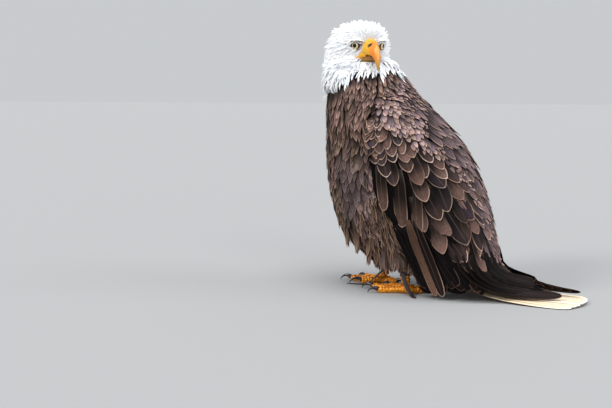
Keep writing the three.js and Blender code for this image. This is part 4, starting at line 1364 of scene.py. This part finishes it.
for sideName, side in wingSides:
    turn = math.radians(eye["aside"])
    gaze = np.array([side * math.sin(turn), -math.cos(turn), 0])
    level, upright = np.array([gaze[1], -gaze[0], 0]), np.array([0, 0, 1])
    middle = np.array(eye["middle"]) * [side, 1, 1]
    ball, flat = addBall("eye_" + sideName + "_ball", 48, 72)
    angle = np.degrees(np.arccos(np.clip(flat[:, 2], -1, 1)))
    radius = eye["radius"] * (1 + eye["bulge"] * smoothstep(48, 20, angle))
    local = middle + radius[:, None] * (flat[:, [2]] * gaze + flat[:, [0]] * level + flat[:, [1]] * upright)
    setPoints(ball, fromHead(local))
    outwards(ball)
    out = np.where(angle > 90, 20, eye["radius"] * np.sin(np.radians(angle)))
    iris = coloured("dcb970", ("fdecc4", smoothstep(7.4, 4.5, out)))
    clear = smoothstep(eye["pupil"] - 0.15, eye["pupil"] + 0.25, out)
    clear = clear * smoothstep(eye["iris"] + 0.3, eye["iris"] - 0.4, out)
    paint(ball, coloured(iris * clear[:, None] + 0.004, ("b09688", smoothstep(57, 63, angle))))
    finishPiece(ball, eyeFinish, ["eye_" + sideName])
    # lids: a ring of dark bare skin, drawn to a corner before and behind the eye
    path, radii = [], []
    for step in np.linspace(0, 2 * math.pi, lidShape["stops"], endpoint=False):
        up, out = math.sin(step), math.cos(step)
        spread = math.radians(lidShape["spread"] - 8 * max(0, up) ** 2)
        ray = gaze * math.cos(spread) + (level * out + upright * up) * math.sin(spread)
        path.append(middle + ray * lidShape["radius"])
        radii.append(1.35 + 0.6 * max(0, up) + 0.5 * abs(out) ** 4)
    lid = tube("eyelid_" + sideName, fromHead(np.array(path)), radii, closed=True, around=4)
    paint(lid, coloured("1e1815", ("5e5030", smoothstep(-1, -8, toHead(points(lid))[:, 2] - middle[2]))))
    finishPiece(lid, lidFinish)
    # brow: a bare ridge that overhangs the eye, its underside painted dark in a broken line as painted shadow
    shares = np.linspace(0, 1, 26)
    line = ringAlong(np.array(browLine) * [side, 1, 1], shares)
    brow = tube("brow_" + sideName, fromHead(line), 0.5 + 1.5 * np.sin(math.pi * shares) ** 0.7, around=4)
    local = toHead(points(brow))
    under = smoothstep(1.2, -0.6, offLine(local, line)[0][:, 2])
    paint(brow, coloured("dcd9d0", ("2f251e", under * np.clip(0.75 + 1.6 * noiseAt(local * 0.3), 0, 1))))
    finishPiece(brow, lidFinish)
print("bill and eyes made")


# each toe's degrees from straight ahead, its length and its claw's, mm
toes = {"inner": (-27, 56, 32), "middle": (-2, 82, 29), "outer": (24, 66, 25), "hind": (192, 34, 36)}
scute = {"step": 6.4, "half": 5.2, "long": 4.1, "high": 2.1, "shankStep": 6.8, "shank": (22, 66)}
pebble = {"fine": 0.42, "fineHigh": 0.5, "coarse": 0.22, "coarseHigh": 0.9}
claw = {"bend": 0.52, "from": -42, "to": 68, "root": 5.2, "tip": 0.5, "high": 8, "tipHigh": 0.9, "stops": 20}

# Scaly skin: keratin plates over the toes' tops and fine round scales on their sides
footFinish = tintedSurface("scaly orange skin", grain=1.6, contrast=0.22, bumpDeep=0.7,
                           settings={"Roughness": 0.45, "Specular IOR Level": 0.45,
                                     "Subsurface Weight": 0.08, "Subsurface Scale": 0.003})
clawFinish = tintedSurface("horn, polished black", grain=5, contrast=0.35, bumpDeep=0.12, stretch=(1, 1, 0.4),
                           settings={"Roughness": 0.22, "Specular IOR Level": 0.6})


def onFoot(pad, ahead, along, height):
    return place(*(pad + ahead * along), height)


# one horny plate: a low dome, a little square
dome, plate = addBall("plate", 14, 8)
plate = np.sign(plate) * np.abs(plate) ** 0.8
plateFaces = [list(p.vertices) for p in dome.data.polygons]
bpy.data.objects.remove(dome)


def layScutes(name, surface, places):
    corners, faces = [], []
    for start, ray, ahead, size in places:
        spot, up, _, _ = surface.ray_cast(start, ray)
        if spot is None:
            continue
        along = (ahead - up * ahead.dot(up)).normalized()
        axes = np.array([up.cross(along) * scute["half"], along * scute["long"], up * scute["high"]])
        first = len(corners) * len(plate)
        corners.append(np.array(spot) + plate @ axes * size / 1000)
        faces += [[first + i for i in face] for face in plateFaces]
    mesh = bpy.data.meshes.new(name)
    mesh.from_pydata(np.concatenate(corners).tolist(), [], faces)
    mesh.polygons.foreach_set("use_smooth", np.ones(len(mesh.polygons), bool))
    thing = addObject(name, mesh)
    high = np.clip(plate[:, 2] * 0.9 + 0.1, 0, 1)
    paint(thing, coloured("a85204", ("f8a420", np.tile(high, len(corners)))))
    finishPiece(thing, footFinish)


for sideName, stance in stances.items():
    sign, pad, hock = stance["sign"], np.array(stance["pad"]), np.array(stance["hock"])
    solids = ["foot_" + sideName, "shank_" + sideName]
    foot = refine("foot_" + sideName + "_skin", solids, voxel=0.9, rounds=1, relax=4)
    spots = points(foot)
    bird = toBird(spots)
    fine, coarse = noiseAt(bird * pebble["fine"]), noiseAt(bird * pebble["coarse"])
    rise = (fine * pebble["fineHigh"] + coarse * pebble["coarseHigh"]) * smoothstep(0.0, 1.6, bird[:, 2])
    spots = spots + readPoints(foot, "normal") * (rise / 1000)[:, None]
    spots[:, 2] = np.maximum(spots[:, 2], 0)
    setPoints(foot, spots)
    shade = np.clip(0.55 + 0.9 * fine + 0.5 * coarse, 0, 1)
    paint(foot, coloured("b55c04", ("f29a16", shade), ("b98a3c", 0.35 * smoothstep(5, 1, bird[:, 2]))))
    finishPiece(foot, footFinish, solids)
    footTree = tree(foot)
    # scutes down the top of each toe and both its sides, then round the shank
    places = []
    aheads = {}
    for toeName, (angle, long, _) in toes.items():
        turn = math.radians(angle) * sign
        ahead = aheads[toeName] = np.array([math.sin(turn), -math.cos(turn)])
        forward = Vector((*ahead, 0))
        for along in np.arange(10, long - 1, scute["step"]):
            top = onFoot(pad, ahead, along, 40)
            places.append((top, Vector((0, 0, -1)), forward, 1 - 0.25 * along / long))
            for aside in (30, -30):
                across = np.array([-ahead[1], ahead[0]]) * aside
                places.append((onFoot(pad + across, ahead, along, 9), Vector((*-across, 0)).normalized(),
                               forward, 0.62))
    for height in np.arange(*scute["shank"], scute["shankStep"]):
        centre = fade(pad, hock, (height - 17) / 89)
        for row in range(-2, 3):
            turn = math.radians(row * 58)
            out = np.array([math.sin(turn) * sign, -math.cos(turn)])
            places.append((onFoot(centre, out, 30, height + (row % 2) * scute["shankStep"] / 2),
                           Vector((*-out, 0)), Vector((0, 0, 1)), 0.95))
    layScutes("foot_" + sideName + "_scutes", footTree, places)
    for toeName, (_, long, clawLong) in toes.items():
        share = np.linspace(0, 1, claw["stops"])
        bend, first, last = clawLong * claw["bend"], math.radians(claw["from"]), math.radians(claw["to"])
        swing = first + (last - first) * share
        along = long - 5 + bend * (np.sin(swing) - math.sin(first))
        drop = claw["high"] + bend * (math.cos(last) - math.cos(first)) - claw["tipHigh"]
        rise = claw["high"] + bend * (np.cos(swing) - math.cos(first)) - drop * share ** 2
        path = [onFoot(pad, aheads[toeName], *stop) for stop in zip(along, rise)]
        clawName = "claw_" + toeName + "_" + sideName
        horn = tube(clawName + "_horn", path, fade(claw["root"], claw["tip"], share ** 0.8))
        paint(horn, tone("1c1c22"))
        finishPiece(horn, clawFinish, [clawName])

# Leather: tanned and oiled, so it is dark with a soft gloss and a fine pebbled grain
leather = tintedSurface("oiled leather", grain=1.4, contrast=0.3, bumpDeep=0.35,
                        settings={"Roughness": 0.5, "Specular IOR Level": 0.45})
for sideName in stances:
    cuff = refine("anklet_" + sideName + "_leather", ["anklet_" + sideName], voxel=0.45, relax=3)
    # paler along both cut edges
    paint(cuff, coloured("2c2223", ("5a4238", smoothstep(6.6, 7.9, np.abs(toBird(points(cuff))[:, 2] - 44)))))
    finishPiece(cuff, leather, ["anklet_" + sideName])
    strap = refine("jess_" + sideName + "_leather", ["jess_" + sideName], voxel=0.5, rounds=1, relax=2)
    paint(strap, tone("2a1c1b"))
    finishPiece(strap, leather, ["jess_" + sideName])
print("feet made")

bpy.data.objects.remove(form)
bpy.data.objects.remove(headForm)


studio = {"floor": "98999a", "floorSize": 60, "sky": "eef1f4", "skyStrength": 0.68}
lamps = {
    "key": {"spot": (2.2, -1.9, 2.4), "spread": 18, "power": 1.65, "colour": (1, 0.98, 0.95)},
    "fill": {"spot": (2.0, 2.1, 1.7), "spread": 30, "power": 0.6, "colour": (1, 0.99, 0.97)},
    "top": {"spot": (0.5, 0.3, 3.0), "spread": 34, "power": 2.35, "colour": (0.98, 0.99, 1)},
    "rim": {"spot": (-0.6, 2.6, 2.0), "spread": 30, "power": 0.8, "colour": (0.97, 0.98, 1),
            "aim": (0, 0, 0.35)},
}
bpy.ops.mesh.primitive_plane_add(size=studio["floorSize"], location=(0, 0, 0))
floor = bpy.context.object
floor.name = "floor"
floorLook = {"Base Color": (*tone(studio["floor"]), 1), "Roughness": 0.9}
floorFinish, _, _ = newMaterial("matt studio floor", floorLook)
floor.data.materials.append(floorFinish)
floor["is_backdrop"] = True

for name, lamp in lamps.items():
    addLight(name, **lamp)
world = bpy.data.worlds.new("studio")
world.use_nodes = True
sky = world.node_tree.nodes["Background"].inputs
sky["Color"].default_value = (*tone(studio["sky"]), 1)
sky["Strength"].default_value = studio["skyStrength"]
bpy.context.scene.world = world
bpy.context.scene.view_settings.view_transform = "Standard"
addCamera()

low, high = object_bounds()
